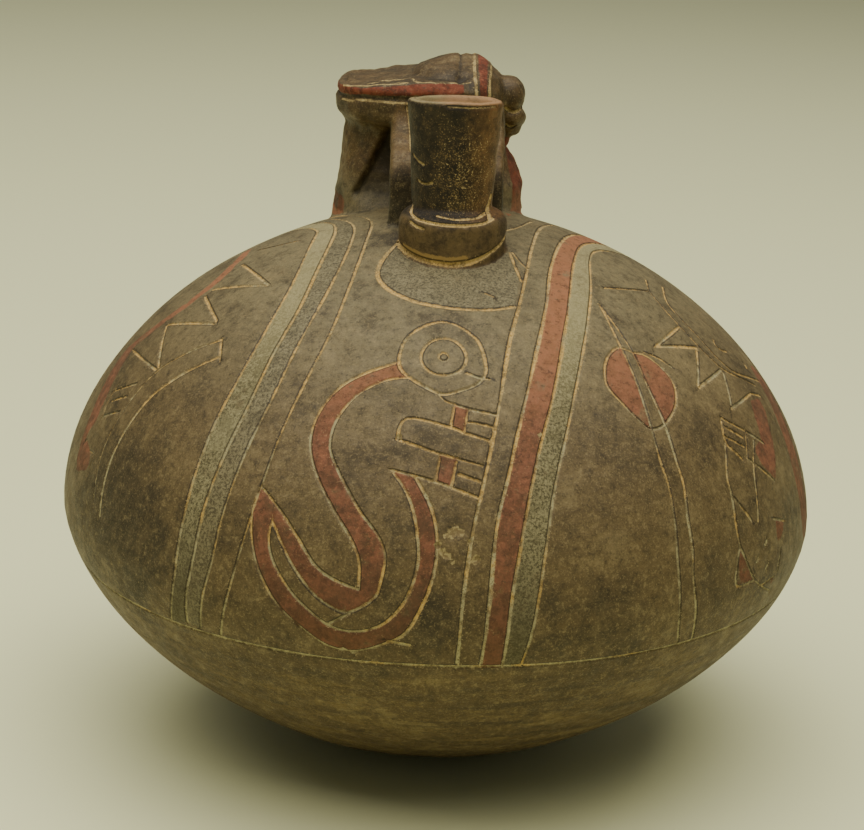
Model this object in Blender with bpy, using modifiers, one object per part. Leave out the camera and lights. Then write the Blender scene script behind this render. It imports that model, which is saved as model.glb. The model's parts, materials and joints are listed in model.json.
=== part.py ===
"""A hollow fired-clay bottle with one spout, a strap bridge and a modelled head.

The bottle stands on a small flat spot under its round body. The origin is the middle of that
spot and +Z is up. The spout stands towards -Y, the head sits behind it and looks towards +Y.
An azimuth is in degrees, from 0 at -Y towards +X. A height is measured up from the ground.
"""

import math

import bmesh
import bpy
import numpy
from mathutils import Matrix, Vector
from mathutils.geometry import delaunay_2d_cdt

MM = 0.001

# Round body
BODY_RADIUS = 92.0 * MM
WIDEST_HEIGHT = 61.0 * MM
CROWN_RISE = 72.0 * MM
BOTTOM_DROP = 63.5 * MM
CROWN_ROUNDNESS = 1.87
BOTTOM_ROUNDNESS = 1.66
BODY_WALL = 5.0 * MM
FLOOR_WALL = 6.0 * MM

# Spout, a little forward of the crown, in a short collar
SPOUT_X = 1.3 * MM
SPOUT_Y = -22.0 * MM
SPOUT_TOP = 163.2 * MM
SPOUT_RIM_RADIUS = 10.7 * MM
SPOUT_FOOT_RADIUS = 8.9 * MM
SPOUT_WALL = 3.0 * MM
SPOUT_FLARE = 1.5
COLLAR_RADIUS = 12.6 * MM
COLLAR_TOP = 138.4 * MM
COLLAR_SHOULDER = 3.4 * MM
COLLAR_FOOT = 120.0 * MM

# Strap bridge from the head down behind the spout
STRAP_WIDTH = 27.0 * MM
STRAP_THICKNESS = 4.6 * MM
STRAP_X = -0.5 * MM
STRAP_GAP = 1.0 * MM
STRAP_SHOULDER = 147.0 * MM
STRAP_BEND = 6.0 * MM
STRAP_RISE = 5.6 * MM
STRAP_EDGE_ROUND = 1.3 * MM
STRAP_EDGE_ANGLE = math.radians(60)

# Head, with a wrapped band around it
HEAD_X = -5.0 * MM
HEAD_Y = 27.5 * MM
HEAD_FOOT = 127.8 * MM
HEAD_HEIGHT = 40.0 * MM
HEAD_WALL = 5.0 * MM
HEAD_TOP_WALL = 8.0 * MM
HEAD_ROOT = 20.0 * MM
HEAD_SQUARENESS = 2.6

# Incised lines
LINE_WIDTH = 1.3 * MM
LINE_DEPTH = 0.5 * MM
GIRDLE_HEIGHT = 51.0 * MM

# How far a cutter runs past what it opens, how far plain points of the wall keep from a line,
# how close points of crossing lines may lie, and how close points of a turned form may lie
CLEAR = 2.0 * MM
LINE_CLEAR = 2.7 * MM
LINE_MERGE = 0.05 * MM
TURN_MERGE = 0.02 * MM

BODY_MIDDLE = Vector((0.0, 0.0, WIDEST_HEIGHT))
CROWN_HEIGHT = WIDEST_HEIGHT + CROWN_RISE

# Facets
WALL_FACET = 9.0 * MM
LINE_SAMPLE = 1.0 * MM
LINE_STRAY = 0.3 * MM
CHART_RINGS = (300, 200)
CHAMBER_STEPS = 28
CHAMBER_RINGS = (8, 6)
SPOUT_STEPS = 22
SPOUT_RINGS = 4
STRAP_RUNS = 3
BEND_ANGLES = (90, 67.5, 45, 22.5, 0)
SHOULDER_ANGLES = (90, 60, 30, 0)
DROP_RINGS = 6
HEAD_SIDES = 22
HOLLOW_SIDES = 12

CLAY_COLOUR = (0.115, 0.088, 0.047, 1.0)
CLAY_ROUGHNESS = 0.42

# Horizontal sections of the head, as shares of its height, from below the foot to the cap:
# level, left side, right side, back, front, each measured from the head's own middle.
HEAD_SECTIONS = (
    (0.00, -0.600, 0.585, -0.500, 0.525),
    (0.08, -0.590, 0.585, -0.480, 0.505),
    (0.21, -0.575, 0.590, -0.445, 0.480),
    (0.34, -0.562, 0.530, -0.400, 0.455),
    (0.46, -0.545, 0.450, -0.370, 0.445),
    (0.57, -0.530, 0.410, -0.360, 0.445),
    (0.62, -0.565, 0.440, -0.480, 0.490),
    (0.65, -0.590, 0.455, -0.515, 0.510),
    (0.72, -0.595, 0.465, -0.525, 0.515),
    (0.82, -0.590, 0.460, -0.520, 0.512),
    (0.88, -0.535, 0.430, -0.470, 0.470),
    (0.93, -0.340, 0.370, -0.350, 0.360),
    (0.975, -0.060, 0.310, -0.160, 0.180),
)
CAP_TOP = (0.19, 0.0, 1.0)
STRAP_START = (0.0, -0.3, 0.0)

# Rounded lumps of clay on the head, as shares of its height: place, then half sizes
FACE_MIDDLE = (-0.035, 0.325, 0.260)
FACE_SIZE = (0.400, 0.235, 0.400)
EYE_SPREAD = 0.170
EYE_LEVEL = 0.365
EYE_SIZE = (0.095, 0.040, 0.042)
NOSE_LEVEL = 0.265
NOSE_SIZE = (0.055, 0.080, 0.120)
LIP_LEVELS = (0.115, 0.065)
LIP_SIZE = (0.115, 0.036, 0.028)
KNOT_LUMPS = (
    ((0.480, -0.030, 0.805), (0.115, 0.135, 0.112)),
    ((0.490, -0.030, 0.645), (0.105, 0.125, 0.082)),
    ((0.450, -0.030, 0.500), (0.058, 0.065, 0.072)),
)

# Lines drawn on the body, each a short list of azimuth in degrees and height on the drawing. On
# the drawing the girdle line is at 51 and the crown at 133, and the body stretches it to its size.
DRAWN_GIRDLE = 51.0
DRAWN_CROWN = 133.0
LEFT_BAND = (
    ((-40.5, 51), (-38.5, 65), (-38.5, 79), (-39, 92), (-39.5, 105), (-42, 114), (-49, 121.5),
     (-70, 127), (-87, 127.5), (-103, 125.5), (-118, 119), (-129, 106), (-136, 89), (-139, 70),
     (-139, 51)),
    ((-37, 52), (-35.5, 67), (-35, 80), (-34.5, 92), (-34.5, 100), (-35, 108.5), (-39, 119),
     (-57.5, 127), (-83, 129), (-104, 127.5), (-122, 120), (-133, 107), (-140, 90), (-143, 70),
     (-143, 51)),
    ((-34.5, 51.5), (-32, 67.5), (-31.5, 80), (-30.5, 96), (-30.5, 108), (-32, 115.5),
     (-35.5, 122), (-46, 127.5), (-73, 130), (-106, 128.5), (-126, 121.5), (-138, 108),
     (-144, 90), (-146.5, 70), (-146, 51)),
    ((-31, 51.5), (-29, 61.5), (-28, 71), (-26.5, 86), (-26, 97), (-25.5, 108), (-26.5, 116),
     (-30.5, 124), (-44.5, 129), (-76, 131), (-110, 129.5), (-131, 122.5), (-143, 109),
     (-149, 90), (-150.5, 70), (-149, 51)),
)
RIGHT_BAND = (
    ((4, 51), (4.5, 68), (5.5, 81.5), (8, 94), (11, 105), (15, 114.5), (20.5, 120.5),
     (29, 125), (50, 129), (93, 130), (126, 126), (146, 115), (158, 100), (164, 84),
     (166.5, 68), (167, 51)),
    ((7, 51), (8, 68), (9, 81.5), (11, 91), (14, 101), (19.5, 112), (29, 120.5), (46, 126.5),
     (85, 128.5), (119, 124), (139, 113.5), (152, 99), (158.5, 84), (162, 68), (163, 51)),
    ((10, 51), (11, 68), (12, 77.5), (14, 88), (17, 98), (21, 106), (33, 118.5), (53.5, 125.5),
     (83, 127), (112, 122.5), (132, 112), (146, 98), (153.5, 83), (158, 68), (159, 51)),
    ((13, 51), (14.5, 65.5), (15.5, 77), (18, 89), (22, 99.5), (28, 109.5), (46, 121),
     (66.5, 125.5), (85, 125.5), (105, 121), (126, 110), (140, 97), (149, 82), (153.5, 67),
     (155, 51)),
)
SERPENT_LINES = (
    ((-8.5, 111.5), (-15, 109), (-18.5, 106), (-20.5, 102), (-21, 97.5), (-20, 93.5),
     (-17.5, 89), (-14.5, 83.5), (-11.5, 78), (-10, 74), (-10, 68)),
    ((-10, 68), (-13.5, 69.5), (-16, 72), (-19, 77), (-22, 81.5), (-26.5, 86)),
    ((-26.5, 86), (-27, 79.5), (-26, 74), (-24, 68.5), (-21, 62.5), (-17.5, 58), (-14, 54.5),
     (-10, 54), (-6, 56), (-3, 59.5), (-1, 67), (0.5, 77.5), (-1, 86.5), (-3, 91)),
    ((-6, 109), (-10.5, 108), (-14.5, 105.5), (-17, 101.5), (-17.5, 97.5), (-16.5, 94),
     (-14, 89.5), (-10.5, 83.5), (-8, 79.5), (-6.5, 75), (-7, 68), (-11, 63), (-14, 64),
     (-19.5, 71.5), (-23.5, 80)),
    ((-23.5, 80), (-22.5, 71.5), (-19.5, 66), (-16, 61.5), (-13, 59), (-10, 58.5), (-6.5, 60.5),
     (-4, 65), (-2.5, 71), (-2.5, 81), (-4.5, 88), (-7, 92.5)),
    ((-6.5, 98), (-5.5, 102), (2, 100.5), (8, 98.5)),
    ((-6.5, 98), (0, 96), (7, 93.5)),
    ((-7, 92.5), (-0.5, 90.5), (6.5, 87.5)),
    ((0, 106.5), (1.5, 105), (5.5, 103.5), (9.5, 103)),
)
SERPENT_HEAD = ((-8.5, 111.5), (-7.5, 116), (0.5, 118.5), (7.5, 116), (9, 111), (7.5, 108.5),
                (0.5, 106.5), (-6.5, 109))
SERPENT_EYE = (0.5, 112.5)
EYE_RING_RADIUS = 4.2 * MM
LEAF = ((40.5, 112.5), (35.5, 111), (33, 107), (34, 103.5), (37.5, 98), (41, 97.5), (45.5, 100.5),
        (48.5, 104), (48.5, 107.5), (45, 111.5))
LEAF_STEMS = (
    ((45.5, 119.5), (42, 114), (40, 107), (38, 99.5), (37.5, 90), (37, 78), (36.5, 68), (38, 51)),
    ((45.5, 119.5), (43.5, 111.5), (42, 105.5), (40.5, 92), (39.5, 80), (39, 66.5), (41, 51)),
)
LEAF_TURNS = (0.0, 80.0, 149.0)
PLUME_LINES = (
    ((-50.5, 109.5), (-56, 105.5), (-60.5, 100.5), (-62.5, 93), (-63, 85), (-61.5, 74)),
    ((-50.5, 109.5), (-46.5, 106)),
    ((-46.5, 106), (-54, 100.5), (-58, 93), (-59, 84), (-58.5, 70.5)),
)
ZIGZAGS = (
    ((-79, 120), (-55.5, 119.8), (-72.5, 114.5), (-57.5, 111.5), (-73, 107), (-61.5, 100.5),
     (-78, 99.5)),
    ((65.5, 113), (51.5, 111.5), (64.5, 109), (55.5, 103), (66.5, 103.5), (61, 97.5), (71.5, 97)),
)
HALO_LINES = (
    ((82, 120), (71.5, 119), (67, 114.5), (66, 109), (68.5, 103), (77, 97.5)),
    ((83, 118), (73.5, 116.5), (69.5, 111), (69.5, 105), (72.5, 101.5), (81.5, 97)),
)
HAND_LINES = (
    ((56, 96.5), (65, 88.5)),
    ((58, 87.5), (64, 80)),
    ((55.5, 96), (50.5, 84), (49.5, 71), (48.5, 62)),
    ((49.5, 70.5), (53, 62), (59, 56.5)),
)
COLLAR_PATCH = ((-29, 130), (-24.5, 126), (-18, 123.3), (-6.5, 121.2), (7.5, 121), (20.5, 122.5),
                (29, 125.5))


def clear_scene():
    """Remove what a new file holds, so that only the bottle is left."""
    for thing in list(bpy.data.objects):
        bpy.data.objects.remove(thing, do_unlink=True)


def new_collection(name):
    """Add a collection to the scene."""
    collection = bpy.data.collections.new(name)
    bpy.context.scene.collection.children.link(collection)
    return collection


def add_mesh(name, bm, collection):
    """Turn a bmesh into an object of the collection, with its faces pointing out."""
    bmesh.ops.recalc_face_normals(bm, faces=bm.faces)
    mesh = bpy.data.meshes.new(name)
    bm.to_mesh(mesh)
    bm.free()
    thing = bpy.data.objects.new(name, mesh)
    collection.objects.link(thing)
    return thing


def superellipse_arc(radius, rise, roundness, first, last, rings):
    """Points of a superellipse quarter, from one angle to another, as radius and rise."""
    points = []
    for ring in range(rings + 1):
        angle = first + (last - first) * ring / rings
        across = max(math.cos(angle), 0.0) ** (2.0 / roundness)
        upward = max(math.sin(angle), 0.0) ** (2.0 / roundness)
        points.append((radius * across, rise * upward))
    return points


def bowl_profile(radius, rise, drop, lowest, rings_up, rings_down):
    """A profile from the crown down the outer side to the lowest height."""
    upper = superellipse_arc(radius, rise, CROWN_ROUNDNESS, math.pi / 2, 0.0, rings_up)
    depth_share = min((WIDEST_HEIGHT - lowest) / drop, 1.0)
    last = math.asin(depth_share ** (BOTTOM_ROUNDNESS / 2.0))
    lower = superellipse_arc(radius, drop, BOTTOM_ROUNDNESS, 0.0, last, rings_down)
    profile = [(across, WIDEST_HEIGHT + up) for across, up in upper]
    return profile + [(across, WIDEST_HEIGHT - down) for across, down in lower[1:]]


def turned(name, profile, steps, collection, place=(0.0, 0.0), turn=0.0):
    """A solid turned from a profile that runs down its outer side, top to bottom."""
    mesh = bpy.data.meshes.new(name)
    verts = [(across, 0.0, height) for across, height in profile]
    edges = [(index, index + 1) for index in range(len(verts) - 1)]
    mesh.from_pydata(verts, edges, [])
    thing = bpy.data.objects.new(name, mesh)
    thing.location = (place[0], place[1], 0.0)
    thing.rotation_euler.z = turn
    collection.objects.link(thing)
    screw = thing.modifiers.new("Turning", "SCREW")
    screw.steps = steps
    screw.render_steps = steps
    screw.use_merge_vertices = True
    screw.merge_threshold = TURN_MERGE
    return thing


def spout_radius(height):
    """Outer radius of the spout, which flares a little towards its rim."""
    share = max((height - COLLAR_TOP) / (SPOUT_TOP - COLLAR_TOP), 0.0)
    return SPOUT_FOOT_RADIUS + (SPOUT_RIM_RADIUS - SPOUT_FOOT_RADIUS) * share ** SPOUT_FLARE


def flared_side(inset, top):
    """The flaring side of the spout from a top height down to its foot, set in for the bore."""
    side = []
    for ring in range(SPOUT_RINGS + 1):
        height = SPOUT_TOP + (COLLAR_TOP - SPOUT_TOP) * ring / SPOUT_RINGS
        side.append((spout_radius(height) - inset, height if ring else top))
    return side


def spout_profile():
    """The spout and its collar, a low ring with a rounded shoulder, turned as one form."""
    shoulder = COLLAR_SHOULDER
    profile = [(0.0, SPOUT_TOP)] + flared_side(0.0, SPOUT_TOP)
    for angle in SHOULDER_ANGLES:
        across = COLLAR_RADIUS - shoulder + shoulder * math.cos(math.radians(angle))
        profile.append((across, COLLAR_TOP - shoulder + shoulder * math.sin(math.radians(angle))))
    return profile + [(COLLAR_RADIUS, COLLAR_FOOT), (0.0, COLLAR_FOOT)]


def bore_profile():
    """The hollow of the spout, from above the rim down into the chamber."""
    top = SPOUT_TOP + CLEAR
    foot = COLLAR_FOOT - CLEAR
    side = flared_side(SPOUT_WALL, top)
    return [(0.0, top)] + side + [(SPOUT_FOOT_RADIUS - SPOUT_WALL, foot), (0.0, foot)]


def strap_path():
    """The middle line of the strap in the plane of Y and height, from the head to its foot."""
    leg_y = SPOUT_Y + SPOUT_FOOT_RADIUS + STRAP_GAP + STRAP_THICKNESS / 2
    bend_y = leg_y + STRAP_BEND
    bend_z = STRAP_SHOULDER - STRAP_BEND
    head_y = head_point(STRAP_START).y
    path = []
    for run in range(STRAP_RUNS, 0, -1):
        share = run / STRAP_RUNS
        path.append((bend_y + (head_y - bend_y) * share, STRAP_SHOULDER + STRAP_RISE * share))
    for angle in BEND_ANGLES:
        turn = math.radians(angle)
        path.append((bend_y - STRAP_BEND * math.cos(turn), bend_z + STRAP_BEND * math.sin(turn)))
    path.append((leg_y, (bend_z + COLLAR_FOOT) / 2))
    path.append((leg_y, COLLAR_FOOT))
    return path


def strap(collection):
    """A flat band that follows its path, with rounded long edges."""
    path = [Vector((0.0, y, z)) for y, z in strap_path()]
    sides = ([], [])
    for index, point in enumerate(path):
        before = path[max(index - 1, 0)]
        after = path[min(index + 1, len(path) - 1)]
        along = (after - before).normalized()
        across = Vector((0.0, -along.z, along.y))
        sides[0].append(point + across * STRAP_THICKNESS / 2)
        sides[1].append(point - across * STRAP_THICKNESS / 2)
    outline = sides[0] + sides[1][::-1]
    bm = bmesh.new()
    edge_x = STRAP_X - STRAP_WIDTH / 2
    face = bm.faces.new([bm.verts.new((edge_x, point.y, point.z)) for point in outline])
    swept = bmesh.ops.extrude_face_region(bm, geom=[face])
    moved = [part for part in swept["geom"] if isinstance(part, bmesh.types.BMVert)]
    bmesh.ops.translate(bm, verts=moved, vec=(STRAP_WIDTH, 0.0, 0.0))
    thing = add_mesh("strap", bm, collection)
    bevel = thing.modifiers.new("Rounded edges", "BEVEL")
    bevel.width = STRAP_EDGE_ROUND
    bevel.segments = 2
    bevel.limit_method = "ANGLE"
    bevel.angle_limit = STRAP_EDGE_ANGLE
    return thing


def head_point(shares):
    """A place on the head from shares of its height."""
    across, depth, level = shares
    middle = Vector((HEAD_X, HEAD_Y, HEAD_FOOT))
    return middle + HEAD_HEIGHT * Vector((across, depth, level))


def head_ring(section, inset, sides):
    """One horizontal section of the head, rounder than a box, set in for the hollow."""
    level, left, right, back, front = section
    middle = head_point(((left + right) / 2, (back + front) / 2, level))
    half_x = HEAD_HEIGHT * (right - left) / 2 - inset
    half_y = HEAD_HEIGHT * (front - back) / 2 - inset
    ring = []
    for side in range(sides):
        angle = 2 * math.pi * side / sides
        cosine, sine = math.cos(angle), math.sin(angle)
        reach = (abs(cosine) ** HEAD_SQUARENESS + abs(sine) ** HEAD_SQUARENESS) ** (-1 / HEAD_SQUARENESS)
        ring.append(middle + Vector((half_x * reach * cosine, half_y * reach * sine, 0.0)))
    return ring


def loft(name, rings, tip, collection):
    """A closed skin over rings of equal count, flat below and drawn to a tip above."""
    bm = bmesh.new()
    rows = [[bm.verts.new(point) for point in ring] for ring in rings]
    bm.faces.new(rows[0])
    for lower, upper in zip(rows, rows[1:]):
        for side in range(len(lower)):
            after = (side + 1) % len(lower)
            bm.faces.new((lower[side], lower[after], upper[after], upper[side]))
    top = bm.verts.new(tip)
    last = rows[-1]
    for side in range(len(last)):
        bm.faces.new((last[side], last[(side + 1) % len(last)], top))
    return add_mesh(name, bm, collection)


def head_block(name, inset, sections, sides, tip, collection):
    """The head's mass, or its hollow when it is set in by the wall."""
    rings = [head_ring(section, inset, sides) for section in sections]
    root = [point - Vector((0.0, 0.0, HEAD_ROOT)) for point in rings[0]]
    return loft(name, [root] + rings, tip, collection)


def lump(name, shares, size_shares, collection, sides=10, rings=6):
    """A rounded lump of clay on the head."""
    bm = bmesh.new()
    bmesh.ops.create_uvsphere(bm, u_segments=sides, v_segments=rings, radius=1.0)
    bmesh.ops.rotate(bm, verts=bm.verts, matrix=Matrix.Rotation(math.pi / sides, 3, "Z"))
    size = Vector(size_shares) * HEAD_HEIGHT
    bmesh.ops.transform(bm, matrix=Matrix.Diagonal(size).to_4x4(), verts=bm.verts)
    bmesh.ops.translate(bm, verts=bm.verts, vec=head_point(shares))
    return add_mesh(name, bm, collection)


def on_face(across, level):
    """The place of a feature on the rounded face, as shares of the head's height."""
    aside = (across - FACE_MIDDLE[0]) / FACE_SIZE[0]
    upward = (level - FACE_MIDDLE[2]) / FACE_SIZE[2]
    bulge = math.sqrt(max(1.0 - aside ** 2 - upward ** 2, 0.0))
    return (across, FACE_MIDDLE[1] + FACE_SIZE[1] * bulge, level)


def head_lumps(collection):
    """The face and the knot of the band, as lumps pressed onto the head."""
    middle = FACE_MIDDLE[0]
    lumps = [lump("face", FACE_MIDDLE, FACE_SIZE, collection, 16, 10)]
    lumps.append(lump("nose", on_face(middle, NOSE_LEVEL), NOSE_SIZE, collection, 8, 6))
    for level in LIP_LEVELS:
        lumps.append(lump("lip", on_face(middle, level), LIP_SIZE, collection, 8, 4))
    for side in (-1, 1):
        place = on_face(middle + side * EYE_SPREAD, EYE_LEVEL)
        lumps.append(lump("eye", place, EYE_SIZE, collection, 8, 4))
    for place, size in KNOT_LUMPS:
        lumps.append(lump("knot", place, size, collection))
    return lumps


class WallChart:
    """The body's outer wall laid out flat, by the length of its profile from the crown."""

    def __init__(self):
        outer = bowl_profile(BODY_RADIUS, CROWN_RISE, BOTTOM_DROP, 0.0, *CHART_RINGS)
        self.across, self.height = numpy.array(outer).T
        steps = numpy.hypot(numpy.diff(self.across), numpy.diff(self.height))
        self.length = numpy.concatenate(([0.0], numpy.cumsum(steps)))

    def radius_at(self, height):
        """Radius of the wall at a height."""
        return float(numpy.interp(-height, -self.height, self.across))

    def length_at(self, height):
        """Profile length from the crown to a height."""
        return float(numpy.interp(-height, -self.height, self.length))

    def place(self, azimuth, height):
        """A point of the wall from an azimuth in degrees and a height."""
        turn = math.radians(azimuth)
        radius = self.radius_at(height)
        return Vector((radius * math.sin(turn), -radius * math.cos(turn), height))

    def flat(self, point):
        """A point of the wall as a place on the flat chart."""
        turn = math.atan2(point.x, -point.y)
        length = self.length_at(point.z)
        return Vector((length * math.sin(turn), -length * math.cos(turn)))

    def raised(self, spot):
        """A place on the flat chart as a point of the wall."""
        length = spot.length
        turn = math.atan2(spot.x, -spot.y)
        radius = float(numpy.interp(length, self.length, self.across))
        height = float(numpy.interp(length, self.length, self.height))
        return Vector((radius * math.sin(turn), -radius * math.cos(turn), height))


def to_wall(point):
    """Push a point along its line from the middle of the body onto the outer wall."""
    arm = point - BODY_MIDDLE
    roundness = CROWN_ROUNDNESS if arm.z > 0 else BOTTOM_ROUNDNESS
    rise = CROWN_RISE if arm.z > 0 else BOTTOM_DROP
    across = math.hypot(arm.x, arm.y) / BODY_RADIUS
    reach = (across ** roundness + abs(arm.z / rise) ** roundness) ** (1.0 / roundness)
    return BODY_MIDDLE + arm / reach


def smooth_between(first, second, third, fourth, share):
    """A point of a Catmull-Rom curve between its second and third points."""
    square, cube = share ** 2, share ** 3
    return 0.5 * (2 * second + (third - first) * share
                  + (2 * first - 5 * second + 4 * third - fourth) * square
                  + (3 * second - first - 3 * third + fourth) * cube)


def stray(points, first, last):
    """How far the points between two others stray from the straight line between them."""
    run = points[last] - points[first]
    if last - first < 2 or run.length == 0.0:
        return 0.0
    along = run.normalized()
    arms = [point - points[first] for point in points[first + 1:last]]
    return max((arm - along * arm.dot(along)).length for arm in arms)


def thinned(points):
    """Only the points that a line needs to stay close to its true course."""
    kept = [points[0]]
    first = 0
    while first < len(points) - 1:
        last = first + 1
        while last + 1 < len(points) and stray(points, first, last + 1) < LINE_STRAY:
            last += 1
        kept.append(points[last])
        first = last
    return kept


def drawn_line(corners, closed=False, smooth=True):
    """A line drawn through a few places on the wall, as the points that it needs."""
    count = len(corners)
    points = []
    for index in range(count if closed else count - 1):
        around = [index - 1, index, index + 1, index + 2]
        if closed:
            near = [corners[number % count] for number in around]
        else:
            near = [corners[min(max(number, 0), count - 1)] for number in around]
        pieces = max(round((near[2] - near[1]).length / LINE_SAMPLE), 1)
        for piece in range(pieces):
            share = piece / pieces
            if smooth:
                point = smooth_between(*near, share)
            else:
                point = near[1].lerp(near[2], share)
            points.append(to_wall(point))
    points.append(to_wall(corners[0 if closed else -1]))
    return thinned(points)


def wall_points(chart, places, turn=0.0):
    """Places of the drawing, as points of the wall."""
    points = []
    for azimuth, drawn in places:
        share = (drawn - DRAWN_GIRDLE) / (DRAWN_CROWN - DRAWN_GIRDLE)
        height = GIRDLE_HEIGHT + (CROWN_HEIGHT - GIRDLE_HEIGHT) * share
        points.append(chart.place(azimuth + turn, height))
    return points


def wall_ring(middle, radius):
    """A small circle drawn on the wall around a point."""
    outward = (middle - BODY_MIDDLE).normalized()
    aside = Vector((0.0, 0.0, 1.0)).cross(outward).normalized()
    upward = outward.cross(aside)
    points = []
    for turn in (math.radians(angle) for angle in range(0, 360, 45)):
        points.append(middle + radius * (math.cos(turn) * aside + math.sin(turn) * upward))
    return drawn_line(points, closed=True)


def incised_lines(chart):
    """Every line cut into the wall, as points; a closed one ends where it starts."""
    girdle = [(angle, DRAWN_GIRDLE) for angle in range(0, 360, 10)]
    lines = [drawn_line(wall_points(chart, girdle), closed=True)]
    bands = LEFT_BAND + RIGHT_BAND
    for places in bands + SERPENT_LINES + PLUME_LINES + HALO_LINES + HAND_LINES:
        lines.append(drawn_line(wall_points(chart, places)))
    for places in ZIGZAGS:
        lines.append(drawn_line(wall_points(chart, places), smooth=False))
    lines.append(drawn_line(wall_points(chart, COLLAR_PATCH)))
    lines.append(drawn_line(wall_points(chart, SERPENT_HEAD), closed=True))
    lines.append(wall_ring(wall_points(chart, [SERPENT_EYE])[0], EYE_RING_RADIUS))
    for turn in LEAF_TURNS:
        lines.append(drawn_line(wall_points(chart, LEAF, turn), closed=True))
        for places in LEAF_STEMS:
            lines.append(drawn_line(wall_points(chart, places, turn)))
    return lines


def line_borders(points):
    """The two borders of a line and a point past each end, or just the borders if it closes."""
    closed = (points[0] - points[-1]).length < LINE_SAMPLE / 2
    sides = ([], [])
    last = len(points) - 1
    for index, point in enumerate(points):
        before = points[index - 1 if index else (last - 1 if closed else 0)]
        after = points[index + 1 if index < last else (1 if closed else last)]
        along = (after - before).normalized()
        across = along.cross((point - BODY_MIDDLE).normalized()) * LINE_WIDTH / 2
        sides[0].append(to_wall(point + across))
        sides[1].append(to_wall(point - across))
    if closed:
        return [sides[0], sides[1]]
    start = to_wall(points[0] + (points[0] - points[1]).normalized() * LINE_WIDTH / 2)
    end = to_wall(points[-1] + (points[-1] - points[-2]).normalized() * LINE_WIDTH / 2)
    return [[start] + sides[0] + [end] + sides[1][::-1] + [start]]


def distance_to_lines(points, lines):
    """The distance of each point to the nearest of the lines."""
    starts = numpy.array([point[:] for line in lines for point in line[:-1]])
    runs = numpy.array([point[:] for line in lines for point in line[1:]]) - starts
    square = (runs ** 2).sum(axis=1)
    nearest = numpy.full(len(points), numpy.inf)
    for index, point in enumerate(numpy.array([point[:] for point in points])):
        arms = point - starts
        share = numpy.clip((arms * runs).sum(axis=1) / square, 0.0, 1.0)
        gaps = arms - runs * share[:, None]
        nearest[index] = math.sqrt((gaps ** 2).sum(axis=1).min())
    return nearest


def wall_grid(chart, last_height, last_count):
    """Rings of points over the wall from the crown to the last height, with a last full ring."""
    last_length = chart.length_at(last_height)
    rows = round(last_length / WALL_FACET)
    spots = [Vector((0.0, 0.0))]
    for row in range(1, rows + 1):
        length = last_length * row / rows
        radius = float(numpy.interp(length, chart.length, chart.across))
        count = last_count if row == rows else max(round(2 * math.pi * radius / WALL_FACET), 6)
        for index in range(count):
            turn = 2 * math.pi * (index + (0.5 if (rows - row) % 2 else 0.0)) / count
            spots.append(Vector((length * math.sin(turn), -length * math.cos(turn))))
    return spots


def incised_body(collection):
    """The body's outer form: a flat chart cut along its lines, raised onto the wall."""
    chart = WallChart()
    lines = incised_lines(chart)
    steps = round(2 * math.pi * BODY_RADIUS / WALL_FACET)
    rim_height = GIRDLE_HEIGHT - WALL_FACET / 2
    grid = wall_grid(chart, rim_height, steps)
    rim = grid[-steps:]
    far = distance_to_lines([chart.raised(spot) for spot in grid], lines) > LINE_CLEAR
    spots = [spot for spot, clear in zip(grid[:-steps], far) if clear]
    edges = [(index, (index + 1) % steps) for index in range(steps)]
    spots = rim + spots
    paths = [path for line in lines for path in [line] + line_borders(line)]
    for path in paths:
        first = len(spots)
        spots += [chart.flat(point) for point in path]
        edges += [(first + index, first + index + 1) for index in range(len(path) - 1)]
    flat, _, faces, _, _, _ = delaunay_2d_cdt(spots, edges, [], 1, LINE_MERGE, False)
    points = [chart.raised(spot) for spot in flat]
    depths = LINE_DEPTH * numpy.clip(1.0 - distance_to_lines(points, lines) * 2 / LINE_WIDTH, 0.0, 1.0)
    bm = bmesh.new()
    verts = []
    for point, depth in zip(points, depths):
        verts.append(bm.verts.new(point - (point - BODY_MIDDLE).normalized() * float(depth)))
    for face in faces:
        bm.faces.new([verts[index] for index in face])
    add_lower_body(bm, chart, rim_height)
    return add_mesh("bottle", bm, collection)


def add_lower_body(bm, chart, rim_height):
    """Rings from the open rim of the wall down to the flat spot that the bottle stands on."""
    rim_edges = [edge for edge in bm.edges if edge.is_boundary]
    bowl = bowl_profile(BODY_RADIUS, CROWN_RISE, BOTTOM_DROP, 0.0, 1, DROP_RINGS * 2)
    levels = [height for _, height in bowl[1:] if height < rim_height - WALL_FACET / 2]
    for height in levels:
        grown = bmesh.ops.extrude_edge_only(bm, edges=rim_edges)["geom"]
        rim_edges = [part for part in grown if isinstance(part, bmesh.types.BMEdge)
                     and part.is_boundary]
        for vert in {vert for edge in rim_edges for vert in edge.verts}:
            turn = math.atan2(vert.co.x, -vert.co.y)
            vert.co = chart.place(math.degrees(turn), height)
    bmesh.ops.contextual_create(bm, geom=rim_edges)


def combine(base, operation, other):
    """Join another solid to the base or cut it out."""
    step = base.modifiers.new(operation.title() + " " + other.name, "BOOLEAN")
    step.operation = operation
    step.object = other
    step.solver = "EXACT"
    other.hide_render = True
    other.display_type = "WIRE"


def clay():
    """Smoked, burnished brown clay."""
    material = bpy.data.materials.new("smoked clay")
    material.use_nodes = True
    shader = material.node_tree.nodes["Principled BSDF"]
    shader.inputs["Base Color"].default_value = CLAY_COLOUR
    shader.inputs["Roughness"].default_value = CLAY_ROUGHNESS
    shader.inputs["Metallic"].default_value = 0.0
    return material


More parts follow.
